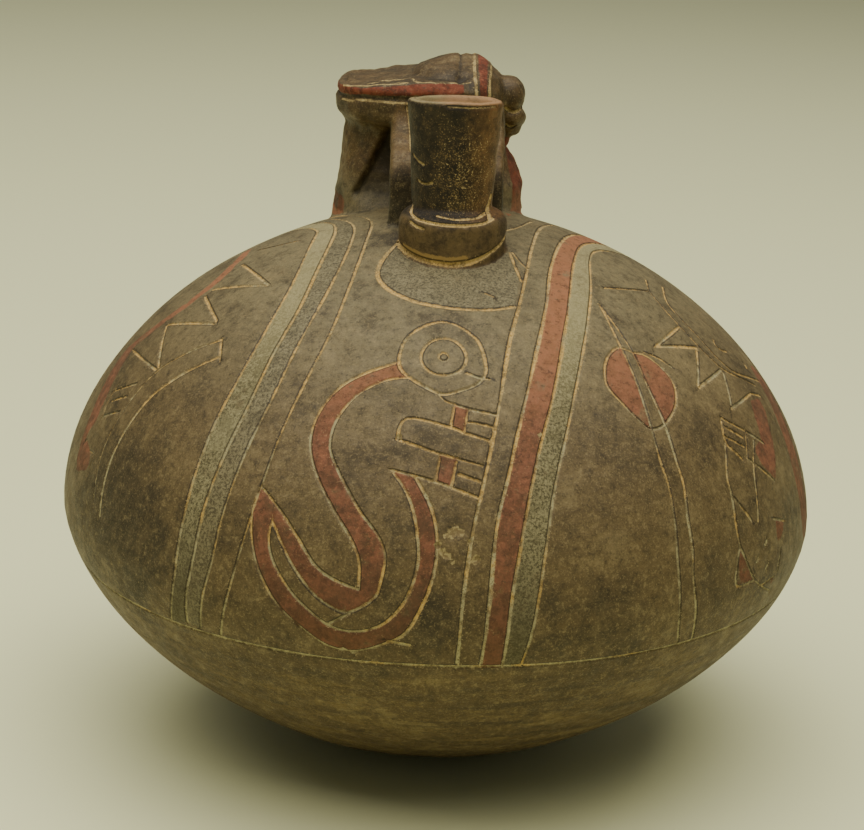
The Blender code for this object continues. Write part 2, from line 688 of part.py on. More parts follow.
def build():
    """Model the bottle: join what stands on the body, then hollow it."""
    clear_scene()
    parts = new_collection("bridge and spout bottle")
    guides = new_collection("guides")

    bottle = incised_body(parts)
    bottle.data.materials.append(clay())

    spout_at = (SPOUT_X, SPOUT_Y)
    added = [turned("spout", spout_profile(), SPOUT_STEPS, guides, spout_at)]
    cap = head_point(CAP_TOP)
    added.append(head_block("head", 0.0, HEAD_SECTIONS, HEAD_SIDES, cap, guides))
    added.append(strap(guides))
    added += head_lumps(guides)
    for piece in added:
        combine(bottle, "UNION", piece)

    inner = bowl_profile(BODY_RADIUS - BODY_WALL, CROWN_RISE - BODY_WALL,
                         WIDEST_HEIGHT - FLOOR_WALL, FLOOR_WALL, *CHAMBER_RINGS)
    hollow_tip = cap - Vector((0.0, 0.0, HEAD_TOP_WALL))
    chamber = turned("chamber", inner, CHAMBER_STEPS, guides)
    hollow = head_block("head hollow", HEAD_WALL, HEAD_SECTIONS[1:10:2], HOLLOW_SIDES, hollow_tip, guides)
    bore = turned("bore", bore_profile(), SPOUT_STEPS, guides, spout_at, math.pi / SPOUT_STEPS)
    for cutter in (chamber, hollow, bore):
        combine(bottle, "DIFFERENCE", cutter)


build()
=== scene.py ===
# %% [markdown]
# # A smoked clay bottle with a spout, a bridge and a small head
#
# The real bottle was built from coils, burnished, incised while the clay was still firm and damp,
# fired in smoke, and painted afterwards with red and grey resin paint. Everything on it is one
# piece of clay, so everything here ends up in one mesh. The script works in millimetres, which
# suits an object of this size, and turns the finished mesh to metres at the very end.

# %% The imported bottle
import json
import math

import bmesh
import bpy
import numpy as np
from mathutils import Matrix, Vector, noise
from mathutils.bvhtree import BVHTree
from mathutils.geometry import delaunay_2d_cdt
from mathutils.kdtree import KDTree

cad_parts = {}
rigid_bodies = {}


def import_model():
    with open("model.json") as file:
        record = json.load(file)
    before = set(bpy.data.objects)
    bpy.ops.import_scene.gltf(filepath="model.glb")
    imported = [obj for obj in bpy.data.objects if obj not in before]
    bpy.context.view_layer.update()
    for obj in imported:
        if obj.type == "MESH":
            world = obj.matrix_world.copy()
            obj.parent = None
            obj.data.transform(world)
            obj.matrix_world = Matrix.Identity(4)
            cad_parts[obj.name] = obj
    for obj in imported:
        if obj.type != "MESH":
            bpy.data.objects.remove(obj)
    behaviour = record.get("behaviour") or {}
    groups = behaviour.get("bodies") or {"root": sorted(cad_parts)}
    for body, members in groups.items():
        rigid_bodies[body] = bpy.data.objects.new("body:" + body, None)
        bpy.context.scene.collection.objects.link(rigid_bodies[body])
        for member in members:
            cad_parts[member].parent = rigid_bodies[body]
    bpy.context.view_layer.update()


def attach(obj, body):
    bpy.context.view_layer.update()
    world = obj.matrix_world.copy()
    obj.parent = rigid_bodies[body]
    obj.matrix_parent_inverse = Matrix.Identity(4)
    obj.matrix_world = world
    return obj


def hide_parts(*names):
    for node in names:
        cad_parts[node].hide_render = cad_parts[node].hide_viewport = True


for thing in list(bpy.data.objects):
    bpy.data.objects.remove(thing, do_unlink=True)
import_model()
MM = 0.001

# %% [markdown]
# ## The round wall
#
# Seen from the side, the body is rounder than a lens and flatter than a ball. A superellipse says
# that with three sizes and one roundness above and below the widest part. It also has a handy
# habit: dividing the arm from the middle by its reach puts any point exactly on the wall. A curved
# wall is hard to draw on, so it also gets a flat chart: the distance from the crown along the
# profile becomes the distance from the chart's middle.

# %% The wall and its flat chart
BODY_RADIUS = 92.0
WIDEST_HEIGHT = 61.0
CROWN_RISE = 72.0
BOTTOM_DROP = 63.5
CROWN_ROUNDNESS = 1.87
BOTTOM_ROUNDNESS = 1.66
BODY_MIDDLE = np.array((0.0, 0.0, WIDEST_HEIGHT))


def reach(points):
    """How far out points lie from the middle of the body, where 1 is the outer wall."""
    arms = points - BODY_MIDDLE
    upper = arms[:, 2] > 0
    roundness = np.where(upper, CROWN_ROUNDNESS, BOTTOM_ROUNDNESS)
    rise = np.where(upper, CROWN_RISE, BOTTOM_DROP)
    across = np.hypot(arms[:, 0], arms[:, 1]) / BODY_RADIUS
    return (across ** roundness + np.abs(arms[:, 2] / rise) ** roundness) ** (1 / roundness)


def to_wall(points):
    """Push points along their arms from the middle onto the outer wall."""
    return BODY_MIDDLE + (points - BODY_MIDDLE) / reach(points)[:, None]


def quarter(radius, rise, roundness, rings):
    """A quarter of a superellipse from its top to its side, as radius and rise."""
    turn = np.linspace(math.pi / 2, 0.0, rings + 1)
    across = radius * np.clip(np.cos(turn), 0, 1) ** (2 / roundness)
    return across, rise * np.clip(np.sin(turn), 0, 1) ** (2 / roundness)


PROFILE_STEPS = (400, 300)
crown_across, crown_up = quarter(BODY_RADIUS, CROWN_RISE, CROWN_ROUNDNESS, PROFILE_STEPS[0])
bowl_across, bowl_down = quarter(BODY_RADIUS, BOTTOM_DROP, BOTTOM_ROUNDNESS, PROFILE_STEPS[1])
profile_across = np.concatenate((crown_across, bowl_across[::-1][1:]))
profile_height = WIDEST_HEIGHT + np.concatenate((crown_up, -bowl_down[::-1][1:]))
profile_steps = np.hypot(np.diff(profile_across), np.diff(profile_height))
profile_length = np.concatenate(([0.0], np.cumsum(profile_steps)))


def length_at(height):
    """Profile length from the crown down to a height."""
    return np.interp(-height, -profile_height, profile_length)


def on_wall(places):
    """Places given as azimuth in degrees and height, as points of the wall."""
    azimuth, height = np.radians(np.array(places, float)[:, 0]), np.array(places, float)[:, 1]
    radius = np.interp(-height, -profile_height, profile_across)
    return to_wall(np.stack((radius * np.sin(azimuth), -radius * np.cos(azimuth), height), 1))


def to_chart(points):
    """Points of the wall as places on the flat chart."""
    turn = np.arctan2(points[:, 0], -points[:, 1])
    length = length_at(points[:, 2])
    return np.stack((length * np.sin(turn), -length * np.cos(turn)), 1)


def from_chart(spots):
    """Places on the flat chart as points of the wall."""
    length = np.hypot(spots[:, 0], spots[:, 1])
    turn = np.arctan2(spots[:, 0], -spots[:, 1])
    radius = np.interp(length, profile_length, profile_across)
    height = np.interp(length, profile_length, profile_height)
    return to_wall(np.stack((radius * np.sin(turn), -radius * np.cos(turn), height), 1))


print("profile from crown to widest part:", round(float(length_at(WIDEST_HEIGHT)), 1), "mm")

# %% [markdown]
# ## Lines drawn by hand
#
# The maker drew every line in one sweep with a pointed tool. A Catmull-Rom curve does the same: it
# passes through a few chosen places and is smooth between them. Zigzags are drawn straight from
# corner to corner. The tool was pressed unevenly, so each line swells and thins along its way.

# %% How a line is drawn
LINE_SAMPLE = 1.15
CURVE_STEPS = 12
PRESS_LENGTH = 9.0


def evenly(points, step=LINE_SAMPLE):
    """The same path with points at even steps."""
    along = np.concatenate(([0.0], np.cumsum(np.linalg.norm(np.diff(points, axis=0), axis=1))))
    count = max(int(round(along[-1] / step)), 1) + 1
    wanted = np.linspace(0.0, along[-1], count)
    return np.stack([np.interp(wanted, along, points[:, axis]) for axis in range(points.shape[1])], 1)


def curve_through(corners, closed=False):
    """A smooth curve through corners."""
    if closed:
        row = np.concatenate((corners[-1:], corners, corners[:2]))
    else:
        row = np.concatenate((corners[:1], corners, corners[-1:]))
    share = np.linspace(0, 1, CURVE_STEPS, endpoint=False)[:, None]
    pieces = []
    for first, second, third, fourth in zip(row, row[1:], row[2:], row[3:]):
        pieces.append(0.5 * (2 * second + (third - first) * share
                             + (2 * first - 5 * second + 4 * third - fourth) * share ** 2
                             + (3 * second - first - 3 * third + fourth) * share ** 3))
    pieces.append(row[-2:-1])
    return np.concatenate(pieces)


def draw(places, closed=False, straight=False):
    """A line on the wall through places, as evenly spaced points."""
    corners = on_wall(places)
    if straight:
        return to_wall(evenly(corners))
    return to_wall(evenly(curve_through(corners, closed)))


def pressure(path, amount, seed):
    """How hard the tool pressed along a path, around 1."""
    return np.array([1.0 + amount * noise.noise(Vector(point / PRESS_LENGTH) + Vector((seed, 0, 0)))
                     for point in path])


print("a line has a point every", LINE_SAMPLE, "mm")

# %% [markdown]
# ## Where the lines run
#
# Each place is an azimuth in degrees, from 0 at the front towards the right, and a height in
# millimetres. Two bands of four lines climb from the girdle over both shoulders, pass the head and
# go down the back. Between them a serpent with a round head hangs from the collar.

# %% The bands and the girdle
LEFT_BAND = (
    ((-40.5, 51), (-38.5, 61), (-38.3, 70), (-38.4, 79), (-38.8, 89), (-39.2, 97), (-39.5, 105),
     (-41.5, 113.5), (-48.5, 121.5), (-71, 127), (-87, 127.6), (-103, 125.5), (-118, 119),
     (-129, 106), (-136, 89), (-139, 70), (-139, 51)),
    ((-37, 52), (-35.3, 67), (-35, 80), (-34.5, 92), (-34.3, 100), (-35.2, 108.7), (-38.7, 119),
     (-57.5, 127.3), (-83, 129), (-104, 127.5), (-122, 120), (-133, 107), (-140, 90), (-143, 70),
     (-143, 51)),
    ((-34.6, 51.5), (-32.1, 67.5), (-31.6, 78), (-30.9, 92), (-30.4, 104), (-31.9, 115.3),
     (-35, 122), (-46, 127.6), (-73, 130), (-106, 128.5), (-126, 121.5), (-138, 108),
     (-144, 90), (-146.5, 70), (-146, 51)),
    ((-31, 51.4), (-29, 61.5), (-27.6, 72), (-26.4, 86), (-26, 97), (-25.4, 108), (-25.8, 116),
     (-30.7, 124), (-44.5, 129.1), (-76, 131), (-110, 129.5), (-131, 122.5), (-143, 109),
     (-149, 90), (-150.5, 70), (-149, 51)),
)
RIGHT_BAND = (
    ((3.9, 51), (4.2, 66), (5.3, 80), (7.9, 94), (10.5, 104), (14.8, 114.5), (20.3, 120.3),
     (28.8, 125), (50, 129.1), (93, 130), (126, 126), (146, 115), (158, 100), (164, 84),
     (166.5, 68), (167, 51)),
    ((7.1, 51), (7.8, 66), (8.8, 81.6), (10.8, 91), (13.8, 101), (19.6, 112), (28.7, 120.4),
     (45.8, 126.5), (85, 128.4), (119, 124), (139, 113.5), (152, 99), (158.5, 84), (162, 68),
     (163, 51)),
    ((10.2, 51), (10.8, 66), (12.1, 77.5), (13.9, 87.5), (16.5, 96.5), (20.5, 104.8),
     (33, 118.6), (53.4, 125.5), (83, 127), (112, 122.5), (132, 112), (146, 98), (153.5, 83),
     (158, 68), (159, 51)),
    ((12.8, 51), (14.4, 65.5), (15.7, 77), (17.9, 89), (21.9, 99.5), (28.2, 109.5), (46, 121.2),
     (66.5, 125.5), (85, 125.6), (105, 121), (126, 110), (140, 97), (149, 82), (153.5, 67),
     (155, 51)),
)
GIRDLE_HEIGHT = 51.0
GIRDLE_WAVER = 0.35
GIRDLE = [(angle, GIRDLE_HEIGHT + GIRDLE_WAVER * math.sin(math.radians(3 * angle + 40)))
          for angle in range(0, 360, 10)]
print(len(LEFT_BAND) + len(RIGHT_BAND), "band lines")

# %% [markdown]
# The serpent is one red ribbon folded over itself, with a round head, a ringed eye and two paws.
# It could be a mesh of its own laid on the wall, but it was drawn with the same tool as the
# bands, so it is a set of lines too. The paint between them comes much later.

# %% The serpent
NECK_OUTSIDE = ((-8.4, 111.4), (-14.8, 108.9), (-18.5, 106.1), (-20.5, 102), (-20.9, 97.7),
                (-19.9, 93.5), (-17.6, 88.8), (-14.5, 83.5), (-11.5, 78.2), (-10.1, 73.8), (-9.9, 68.2))
TAIL_OVER = ((-26.3, 85.9), (-22.2, 81.6), (-19.2, 77.2), (-16.2, 72.1), (-13.3, 69.7), (-9.9, 68.2))
TAIL_OUTSIDE = ((-26.3, 85.9), (-26.8, 83.5), (-26.7, 79.3), (-25.8, 74.2), (-24.1, 68.5),
                (-21.2, 62.6), (-17.4, 57.8), (-14, 54.4), (-10.2, 53.8), (-6, 56.4), (-3.2, 59.5),
                (-0.9, 66.8), (0.2, 72.6), (0.5, 77.3), (0.2, 82.2), (-0.9, 86.6), (-3.1, 91.1))
NECK_INSIDE = ((-6.2, 108.9), (-10.5, 108.1), (-14.7, 105.4), (-17, 101.4), (-17.5, 97.5),
               (-16.7, 94.1), (-14, 89.4), (-10.6, 83.7), (-7.8, 79.5), (-6.6, 75.5), (-6.9, 70.7),
               (-7.7, 66.7), (-11.1, 63.1), (-13.9, 64.2), (-16.4, 66.7), (-19.5, 71.7),
               (-22.4, 77.7), (-23.4, 79.7))
TAIL_INSIDE = ((-23.4, 79.7), (-23.5, 76.2), (-22.4, 71.7), (-19.4, 66), (-16, 61.7), (-13, 59.1),
               (-9.8, 58.8), (-6.7, 60.7), (-4.5, 64.1), (-2.9, 68.8), (-2, 75.1), (-2.4, 80.9),
               (-3.3, 85.6), (-4.7, 89.1), (-6.9, 92.3))
SERPENT_HEAD = ((-8.6, 111.7), (-7.3, 116), (0.3, 118.4), (7.5, 115.9), (9, 112), (8.6, 109.6),
                (6.5, 107.9), (1.7, 106.4), (-0.8, 106.6), (-6.5, 109.2))
EYE = (0.5, 112.6)
EYE_RING_RADIUS = 5.0
PUPIL_RADIUS = 1.2
MOUTH = ((5.1, 110.0), (7.2, 109.3), (9.4, 109.0))
FINGERS = (
    ((-0.2, 106.3), (1.3, 105), (5.7, 103.7), (9.9, 102.8)),
    ((-6.6, 98), (-5.4, 101.8), (1.8, 100.6), (4.4, 99.6), (8.2, 98.3)),
    ((-6.6, 98), (-0.1, 95.9), (7.1, 93.7)),
    ((-6.9, 92.3), (-0.5, 90.7), (6.6, 87.6)),
    ((5.1, 101.5), (7, 101.2), (9, 100.7)),
    ((3.4, 92.1), (5.1, 91.4), (6.6, 90.8)),
)
FINGER_BLOCKS = (
    ((2.7, 104.6), (5, 103.8), (4.3, 99.8), (2.0, 100.5)),
    ((0.5, 95.7), (3.1, 95.0), (2.3, 90.0), (-0.1, 90.7)),
)

# %% [markdown]
# On the shoulders stand a round leaf on a long stem, a plume with zigzag rays, and half a figure
# with a halo, a hand and a small face, which runs on round the side. The leaf is drawn once and
# turned to three places, so the plainer back of the bottle is finished with it too.

# %% The leaf, the plume, the zigzags and the figure on the right
LEAF = ((40.5, 112.6), (35.6, 110.8), (32.8, 107), (34, 103.6), (35.9, 100.2), (37.7, 98),
        (41, 98.2), (45.4, 100.7), (48.5, 104.2), (48.6, 107.4), (46.5, 110.4), (43.7, 111.4))
LEFT_STEM = ((45.7, 119.6), (42, 113.8), (39.9, 107.2), (38.1, 99.3), (37.3, 92.1), (37.4, 86.8),
             (36.8, 77.9), (36.4, 70.8), (36.8, 58), (38.2, 51))
RIGHT_STEM = ((45.7, 119.6), (43.6, 111.5), (41.8, 105.4), (41.3, 99.5), (40.5, 91.5), (40.4, 86.5),
              (39.5, 80.2), (39.4, 73.4), (39.1, 66.5), (40.1, 57), (41, 51))
LEAF_TURNS = (0.0, 80.0, 149.0)
PLUME_OUTSIDE = ((-50.4, 109.4), (-52.2, 108.3), (-56.2, 105.5), (-60.6, 100.4), (-62.2, 95),
                 (-62.7, 89.4), (-62.7, 83), (-61.9, 77.3), (-60.5, 71))
PLUME_CAP = ((-50.6, 109.5), (-46.4, 106.0))
PLUME_INSIDE = ((-47.5, 106.6), (-50.6, 104.1), (-54, 100.7), (-57, 96), (-58.3, 90.6),
                (-58.9, 83.5), (-58.6, 76), (-57.6, 68.5))
LEFT_ZIGZAG = (
    ((-79.2, 119.9), (-55.8, 119.8)),
    ((-55.4, 119.6), (-63.6, 118), (-73.2, 115.2)),
    ((-72.3, 113.8), (-57.5, 111.9)),
    ((-57.1, 111.2), (-72.8, 107.1)),
    ((-73, 106.7), (-61.4, 100.7)),
    ((-77.8, 99.4), (-61.8, 100.1)),
)
RIGHT_ZIGZAG = (
    ((65.6, 112.8), (51.3, 111.4)),
    ((51.3, 111.4), (64.5, 108.8)),
    ((64.5, 108.8), (55.3, 103.3)),
    ((55.2, 102.8), (66.7, 103.7)),
    ((66.7, 103.2), (61.4, 97.9)),
    ((60.7, 97.1), (71.6, 97.2), (75.4, 95.4)),
)
HALO_LOW = ((79.2, 120.1), (71.6, 118.9), (68.2, 116.5), (66.7, 114.2), (65.8, 110.4), (66.3, 106.5),
            (68.6, 102.8), (76.9, 97.3))
HALO_HIGH = ((83.6, 117.9), (73.9, 116.7), (70.4, 114.2), (69.5, 110), (69.3, 105.5), (72.2, 101.5),
             (81.7, 96.8))
HALO_TOP = ((54.1, 121.7), (62.7, 120.5), (71.6, 118.9))
FIGURE_LINES = (
    ((56, 96.4), (57.1, 95.4), (65, 88.3)),
    ((55.6, 94.6), (59, 91.5)),
    ((54.3, 93), (58.1, 89.8)),
    ((53.8, 91.3), (56.1, 87.7)),
    ((60.9, 92.4), (57.6, 87.5)),
    ((57.6, 87.5), (63.7, 80.3)),
    ((55.3, 95.9), (54.1, 93.6), (53.8, 91.3)),
    ((55.3, 95.9), (53, 91.2), (50.5, 85.7), (50.2, 81.9), (49.5, 75.2), (49.7, 70.3)),
    ((50.2, 81.9), (53.5, 75.3)),
    ((62.1, 90), (58.2, 84.8), (55.3, 74.4)),
    ((49.5, 70.3), (48.7, 67.7), (48.3, 62.1), (52.8, 61.5)),
    ((49.8, 70.2), (52.5, 62.5), (55.7, 58.8), (58.8, 56.4)),
    ((60.2, 73), (63.9, 71)),
    ((75.6, 108), (73.8, 107.4), (74.6, 105.9), (76.5, 105.2)),
    ((55.2, 59.3), (59.2, 59.8)),
    ((61.4, 65.8), (60.2, 60.7)),
    ((89.6, 97.5), (86.4, 91.6), (83.4, 86.8), (81.8, 82), (80.5, 77), (79.6, 71.5), (79.8, 64)),
)
LEFT_FIGURE_LINES = (
    ((-71.1, 91.9), (-64.5, 96)),
    ((-69.1, 90.4), (-64.7, 93)),
    ((-68.4, 87.2), (-63.8, 89.9)),
    ((-71, 92.7), (-70.7, 90), (-68.9, 86.6)),
    ((-67.6, 79.2), (-65.2, 79.1), (-65.1, 76.1)),
    ((-88, 121.9), (-82, 124.2), (-77.4, 126.1)),
)
FIGURE_DOTS = ((56.6, 68.9), (53.8, 66.0), (56.4, 63.3), (80.7, 100.7), (-71.5, 79.8))
COLLAR_PATCH = ((-27.5, 129.8), (-26.6, 128), (-25.3, 126.3), (-22.8, 124.7), (-18.3, 123.3),
                (-12.8, 122.2), (-5.9, 121.2), (2.9, 120.6), (12.5, 120.5), (19.8, 120.9))
COLLAR_TICKS = (
    ((32.3, 128.7), (28.4, 126.8), (26.5, 124.7)),
    ((33.6, 128.7), (32.4, 127.2), (32.7, 126.4)),
    ((53.8, 131.2), (75, 131.1), (105, 130.4)),
    ((12.5, 123.1), (14.6, 122.6)),
)
BURIN_SLIPS = (
    ((-5.6, 57), (-2.7, 56.4)),
    ((-13.6, 60.1), (-11, 62.8)),
    ((-11.9, 54.2), (-10.6, 53.2)),
    ((46.8, 111.0), (49.4, 109.5), (51.3, 107.6)),
)

# %% [markdown]
# ## Lines become paths
#
# A line is more than its places: it has a width, and it is a curve or a straight stroke. All
# lines are kept in two lists, the paths and their widths, because the wall is cut in one go. Their
# widths are about 0.8 to 1.2 mm, as wide as the tool's point.

# %% Every line as a path on the wall
LINE_DEPTH = 0.28
RING_FLATNESS = 0.62
DOT_REACH = (0.25, 0.3)
line_paths, line_widths = [], []


def cut(places, width, closed=False, straight=False, turn=0.0, uneven=0.3):
    """Add one line to be cut into the wall."""
    path = draw([(azimuth + turn, height) for azimuth, height in places], closed, straight)
    line_paths.append(path)
    line_widths.append(width * pressure(path, uneven, len(line_paths)))
    return path


def small_ring(place, radius):
    """A small circle around a place, as places on the wall."""
    azimuth, height = place
    level = on_wall([place])[0][:2]
    wide = math.degrees(radius / float(level @ level) ** 0.5)
    tall = radius * RING_FLATNESS
    turns = [math.radians(angle) for angle in range(0, 360, 30)]
    return [(azimuth + wide * math.cos(turn), height + tall * math.sin(turn)) for turn in turns]


cut(GIRDLE, 0.95, closed=True)
left_band = [cut(places, width) for places, width in zip(LEFT_BAND, (0.78, 0.86, 0.8, 0.78))]
right_band = [cut(places, width) for places, width in zip(RIGHT_BAND, (0.95, 0.95, 0.85, 0.8))]
for places in (NECK_OUTSIDE, TAIL_OVER, TAIL_OUTSIDE, NECK_INSIDE, TAIL_INSIDE):
    cut(places, 0.8)
cut(SERPENT_HEAD, 0.85, closed=True)
cut(small_ring(EYE, EYE_RING_RADIUS), 0.85, closed=True)
cut(small_ring(EYE, PUPIL_RADIUS), 0.8, closed=True)
cut(MOUTH, 0.8)
for places in FINGERS:
    cut(places, 0.82)
for block in FINGER_BLOCKS:
    for side in ((block[0], block[3]), (block[1], block[2])):
        cut(side, 0.8, straight=True)
for turn in LEAF_TURNS:
    cut(LEAF, 0.78, closed=True, turn=turn)
    for stem in (LEFT_STEM, RIGHT_STEM):
        cut(stem, 0.78, turn=turn)
for places in (PLUME_OUTSIDE, HALO_LOW, HALO_HIGH, HALO_TOP):
    cut(places, 0.8)
cut(PLUME_INSIDE, 1.05)
cut(PLUME_CAP, 0.95)
for places in LEFT_ZIGZAG + RIGHT_ZIGZAG:
    cut(places, 0.95, straight=True)
for places in FIGURE_LINES + LEFT_FIGURE_LINES + BURIN_SLIPS:
    cut(places, 0.78, straight=len(places) == 2)
for azimuth, height in FIGURE_DOTS:
    aside, upward = DOT_REACH
    cut(((azimuth - aside, height - upward), (azimuth + aside, height + upward)), 1.0)
cut(COLLAR_PATCH, 1.15)
for places in COLLAR_TICKS:
    cut(places, 0.8)
line_length = LINE_SAMPLE * sum(len(path) - 1 for path in line_paths)
print(len(line_paths), "lines, about", round(line_length), "mm long together")

# %% [markdown]
# ## Spout, collar, bridge and head
#
# These stand on the body and were joined to it with wet clay. The easiest way to get that soft,
# joined look is to model each form roughly, drop them all into one mesh and let a voxel remesh
# melt them together. A lathe profile makes the spout, a swept flat section makes the bridge, and
# the head is a skin stretched over horizontal sections.

# %% A skin over rings
def skin(bm, rings):
    """A closed skin over rings with equal counts of points."""
    rows = [[bm.verts.new(point) for point in ring] for ring in rings]
    count = len(rows[0])
    for lower, upper in zip(rows, rows[1:]):
        for side in range(count):
            after = (side + 1) % count
            bm.faces.new((lower[side], lower[after], upper[after], upper[side]))
    bm.faces.new(rows[0][::-1])
    bm.faces.new(rows[-1])


def circle(radius, height, sides, place=(0.0, 0.0)):
    """A level circle."""
    turns = [2 * math.pi * side / sides for side in range(sides)]
    return [(place[0] + radius * math.cos(turn), place[1] + radius * math.sin(turn), height)
            for turn in turns]


def make(name, bm):
    """A bmesh as an object, with its faces pointing out."""
    bmesh.ops.recalc_face_normals(bm, faces=bm.faces)
    mesh = bpy.data.meshes.new(name)
    bm.to_mesh(mesh)
    bm.free()
    thing = bpy.data.objects.new(name, mesh)
    bpy.context.scene.collection.objects.link(thing)
    return thing


# %% [markdown]
# The spout is a short tube, a little wider at its rim, in a low collar of clay that hides its
# seam. Both are round, so they are one profile turned on a wheel: a list of radii and heights.
# Quarter circles at the shoulder and the rim keep the edges as soft as a wet finger leaves them.

# %% The spout and its collar
SPOUT_X, SPOUT_Y = 1.3, -22.0
SPOUT_TOP = 163.2
SPOUT_RIM_RADIUS = 10.7
SPOUT_FOOT_RADIUS = 8.9
SPOUT_WALL = 3.0
SPOUT_FLARE = 1.5
COLLAR_RADIUS = 12.6
COLLAR_TOP = 138.4
COLLAR_SHOULDER = 3.4
COLLAR_FOOT = 120.0
RIM_ROUND = 0.9
SPOUT_SIDES = 96


def spout_radius(height):
    """Outer radius of the spout, which flares a little towards its rim."""
    share = max((height - COLLAR_TOP) / (SPOUT_TOP - COLLAR_TOP), 0.0)
    return SPOUT_FOOT_RADIUS + (SPOUT_RIM_RADIUS - SPOUT_FOOT_RADIUS) * share ** SPOUT_FLARE


def spout_rings():
    """The spout and collar from below the wall up to the rim, as radius and height."""
    profile = [(COLLAR_RADIUS, COLLAR_FOOT), (COLLAR_RADIUS, COLLAR_TOP - COLLAR_SHOULDER)]
    for angle in range(15, 91, 15):
        turn = math.radians(angle)
        profile.append((COLLAR_RADIUS + COLLAR_SHOULDER * (math.cos(turn) - 1),
                        COLLAR_TOP + COLLAR_SHOULDER * (math.sin(turn) - 1)))
    for height in np.linspace(COLLAR_TOP, SPOUT_TOP - RIM_ROUND, 24):
        profile.append((spout_radius(height), height))
    for angle in range(20, 91, 35):
        turn = math.radians(angle)
        profile.append((SPOUT_RIM_RADIUS + RIM_ROUND * (math.cos(turn) - 1),
                        SPOUT_TOP + RIM_ROUND * (math.sin(turn) - 1)))
    return profile


def add_spout(bm):
    """Turn the spout and its collar."""
    skin(bm, [circle(radius, height, SPOUT_SIDES, (SPOUT_X, SPOUT_Y)) for radius, height in spout_rings()])


# %% [markdown]
# The bridge is a flat strap that comes from the head, runs forward over a finger's width of air
# and bends down behind the spout. A flat section swept along a path makes it, because the strap
# has the same width and thickness all the way.

# %% The strap bridge
STRAP_WIDTH = 27.0
STRAP_THICKNESS = 4.6
STRAP_X = -0.5
STRAP_GAP = 1.0
STRAP_SHOULDER = 147.0
STRAP_BEND = 6.0
STRAP_RISE = 5.6
STRAP_SQUARENESS = 5.0
STRAP_SIDES = 40
HEAD_X, HEAD_Y = -5.0, 27.5
HEAD_FOOT = 127.8
HEAD_HEIGHT = 40.0


def square_reach(cosine, sine, squareness):
    """How much further than a circle a rounded square reaches in a direction."""
    return (abs(cosine) ** squareness + abs(sine) ** squareness) ** (-1 / squareness)


def strap_path():
    """The middle of the strap from the head to the collar, as depth and height."""
    leg_y = SPOUT_Y + SPOUT_FOOT_RADIUS + STRAP_GAP + STRAP_THICKNESS / 2
    bend_y, bend_z = leg_y + STRAP_BEND, STRAP_SHOULDER - STRAP_BEND
    head_y = HEAD_Y - HEAD_HEIGHT * 0.3
    path = [(bend_y + (head_y - bend_y) * share, STRAP_SHOULDER + STRAP_RISE * share)
            for share in np.linspace(1.0, 0.1, 8)]
    for angle in range(90, -1, -15):
        turn = math.radians(angle)
        path.append((bend_y - STRAP_BEND * math.cos(turn), bend_z + STRAP_BEND * math.sin(turn)))
    return path + [(leg_y, height) for height in np.linspace(bend_z - 2, COLLAR_FOOT, 6)]


def add_strap(bm):
    """Sweep the strap's flat section along its path."""
    path = strap_path()
    rings = []
    for index, (depth, height) in enumerate(path):
        before, after = path[max(index - 1, 0)], path[min(index + 1, len(path) - 1)]
        along = Vector((after[0] - before[0], after[1] - before[1])).normalized()
        ring = []
        for side in range(STRAP_SIDES):
            turn = math.tau * side / STRAP_SIDES
            cosine, sine = math.cos(turn), math.sin(turn)
            further = square_reach(cosine, sine, STRAP_SQUARENESS)
            out = sine * further * STRAP_THICKNESS / 2
            ring.append((STRAP_X + cosine * further * STRAP_WIDTH / 2,
                         depth - along.y * out, height + along.x * out))
        rings.append(ring)
    skin(bm, rings)


# %% [markdown]
# The riser is a wedge of clay that fills the corner between the strap and the head. A profile seen
# from the side, repeated six times across, makes it. The outer sections are a little smaller,
# which rounds its long edges.

# %% The riser under the band
RISER_PROFILE = ((14, 147), (14, 157.4), (6.8, 157.4), (6.5, 155.3), (5.6, 153.4), (4.0, 152.2),
                 (1.8, 151.3), (-1.5, 150.4), (-1.5, 147.5))
RISER_SIDES = ((-1.02, 0.9), (-0.98, 0.3), (-0.92, 0.0), (0.92, 0.0), (0.98, 0.3), (1.02, 0.9))
RISER_FRONT = 12.5
RISER_BASE = STRAP_SHOULDER + 1


def add_riser(bm):
    """The wedge of clay that carries the strap up to the band, with rounded sides."""
    rings = []
    for across, inset in RISER_SIDES:
        rings.append([(STRAP_X + across * STRAP_WIDTH / 2, depth + inset * (depth < RISER_FRONT),
                       height - inset * (height > RISER_BASE)) for depth, height in RISER_PROFILE])
    skin(bm, rings)


# %% [markdown]
# The head is small and mostly cloth: a wrapped band, a cap above it and a fall of cloth below. Its
# sections are written as shares of the head's height, the way a sculptor thinks of proportions.
# The face is a calm, general one: an oval, a straight nose, closed lids and a level mouth.

# %% The head
HEAD_ROOT = 20.0
HEAD_SQUARENESS = 2.6
HEAD_SIDES = 96
HEAD_SECTIONS = (
    (0.00, -0.600, 0.585, -0.500, 0.525),
    (0.08, -0.590, 0.585, -0.480, 0.505),
    (0.21, -0.575, 0.590, -0.445, 0.480),
    (0.34, -0.562, 0.530, -0.400, 0.455),
    (0.46, -0.545, 0.450, -0.370, 0.445),
    (0.57, -0.530, 0.410, -0.360, 0.445),
    (0.62, -0.565, 0.440, -0.480, 0.490),
    (0.65, -0.590, 0.455, -0.515, 0.510),
    (0.72, -0.595, 0.465, -0.525, 0.515),
    (0.82, -0.590, 0.460, -0.520, 0.512),
    (0.88, -0.535, 0.430, -0.470, 0.470),
    (0.93, -0.340, 0.370, -0.350, 0.360),
    (0.975, -0.060, 0.310, -0.160, 0.180),
    (1.0, 0.10, 0.26, -0.05, 0.05),
)


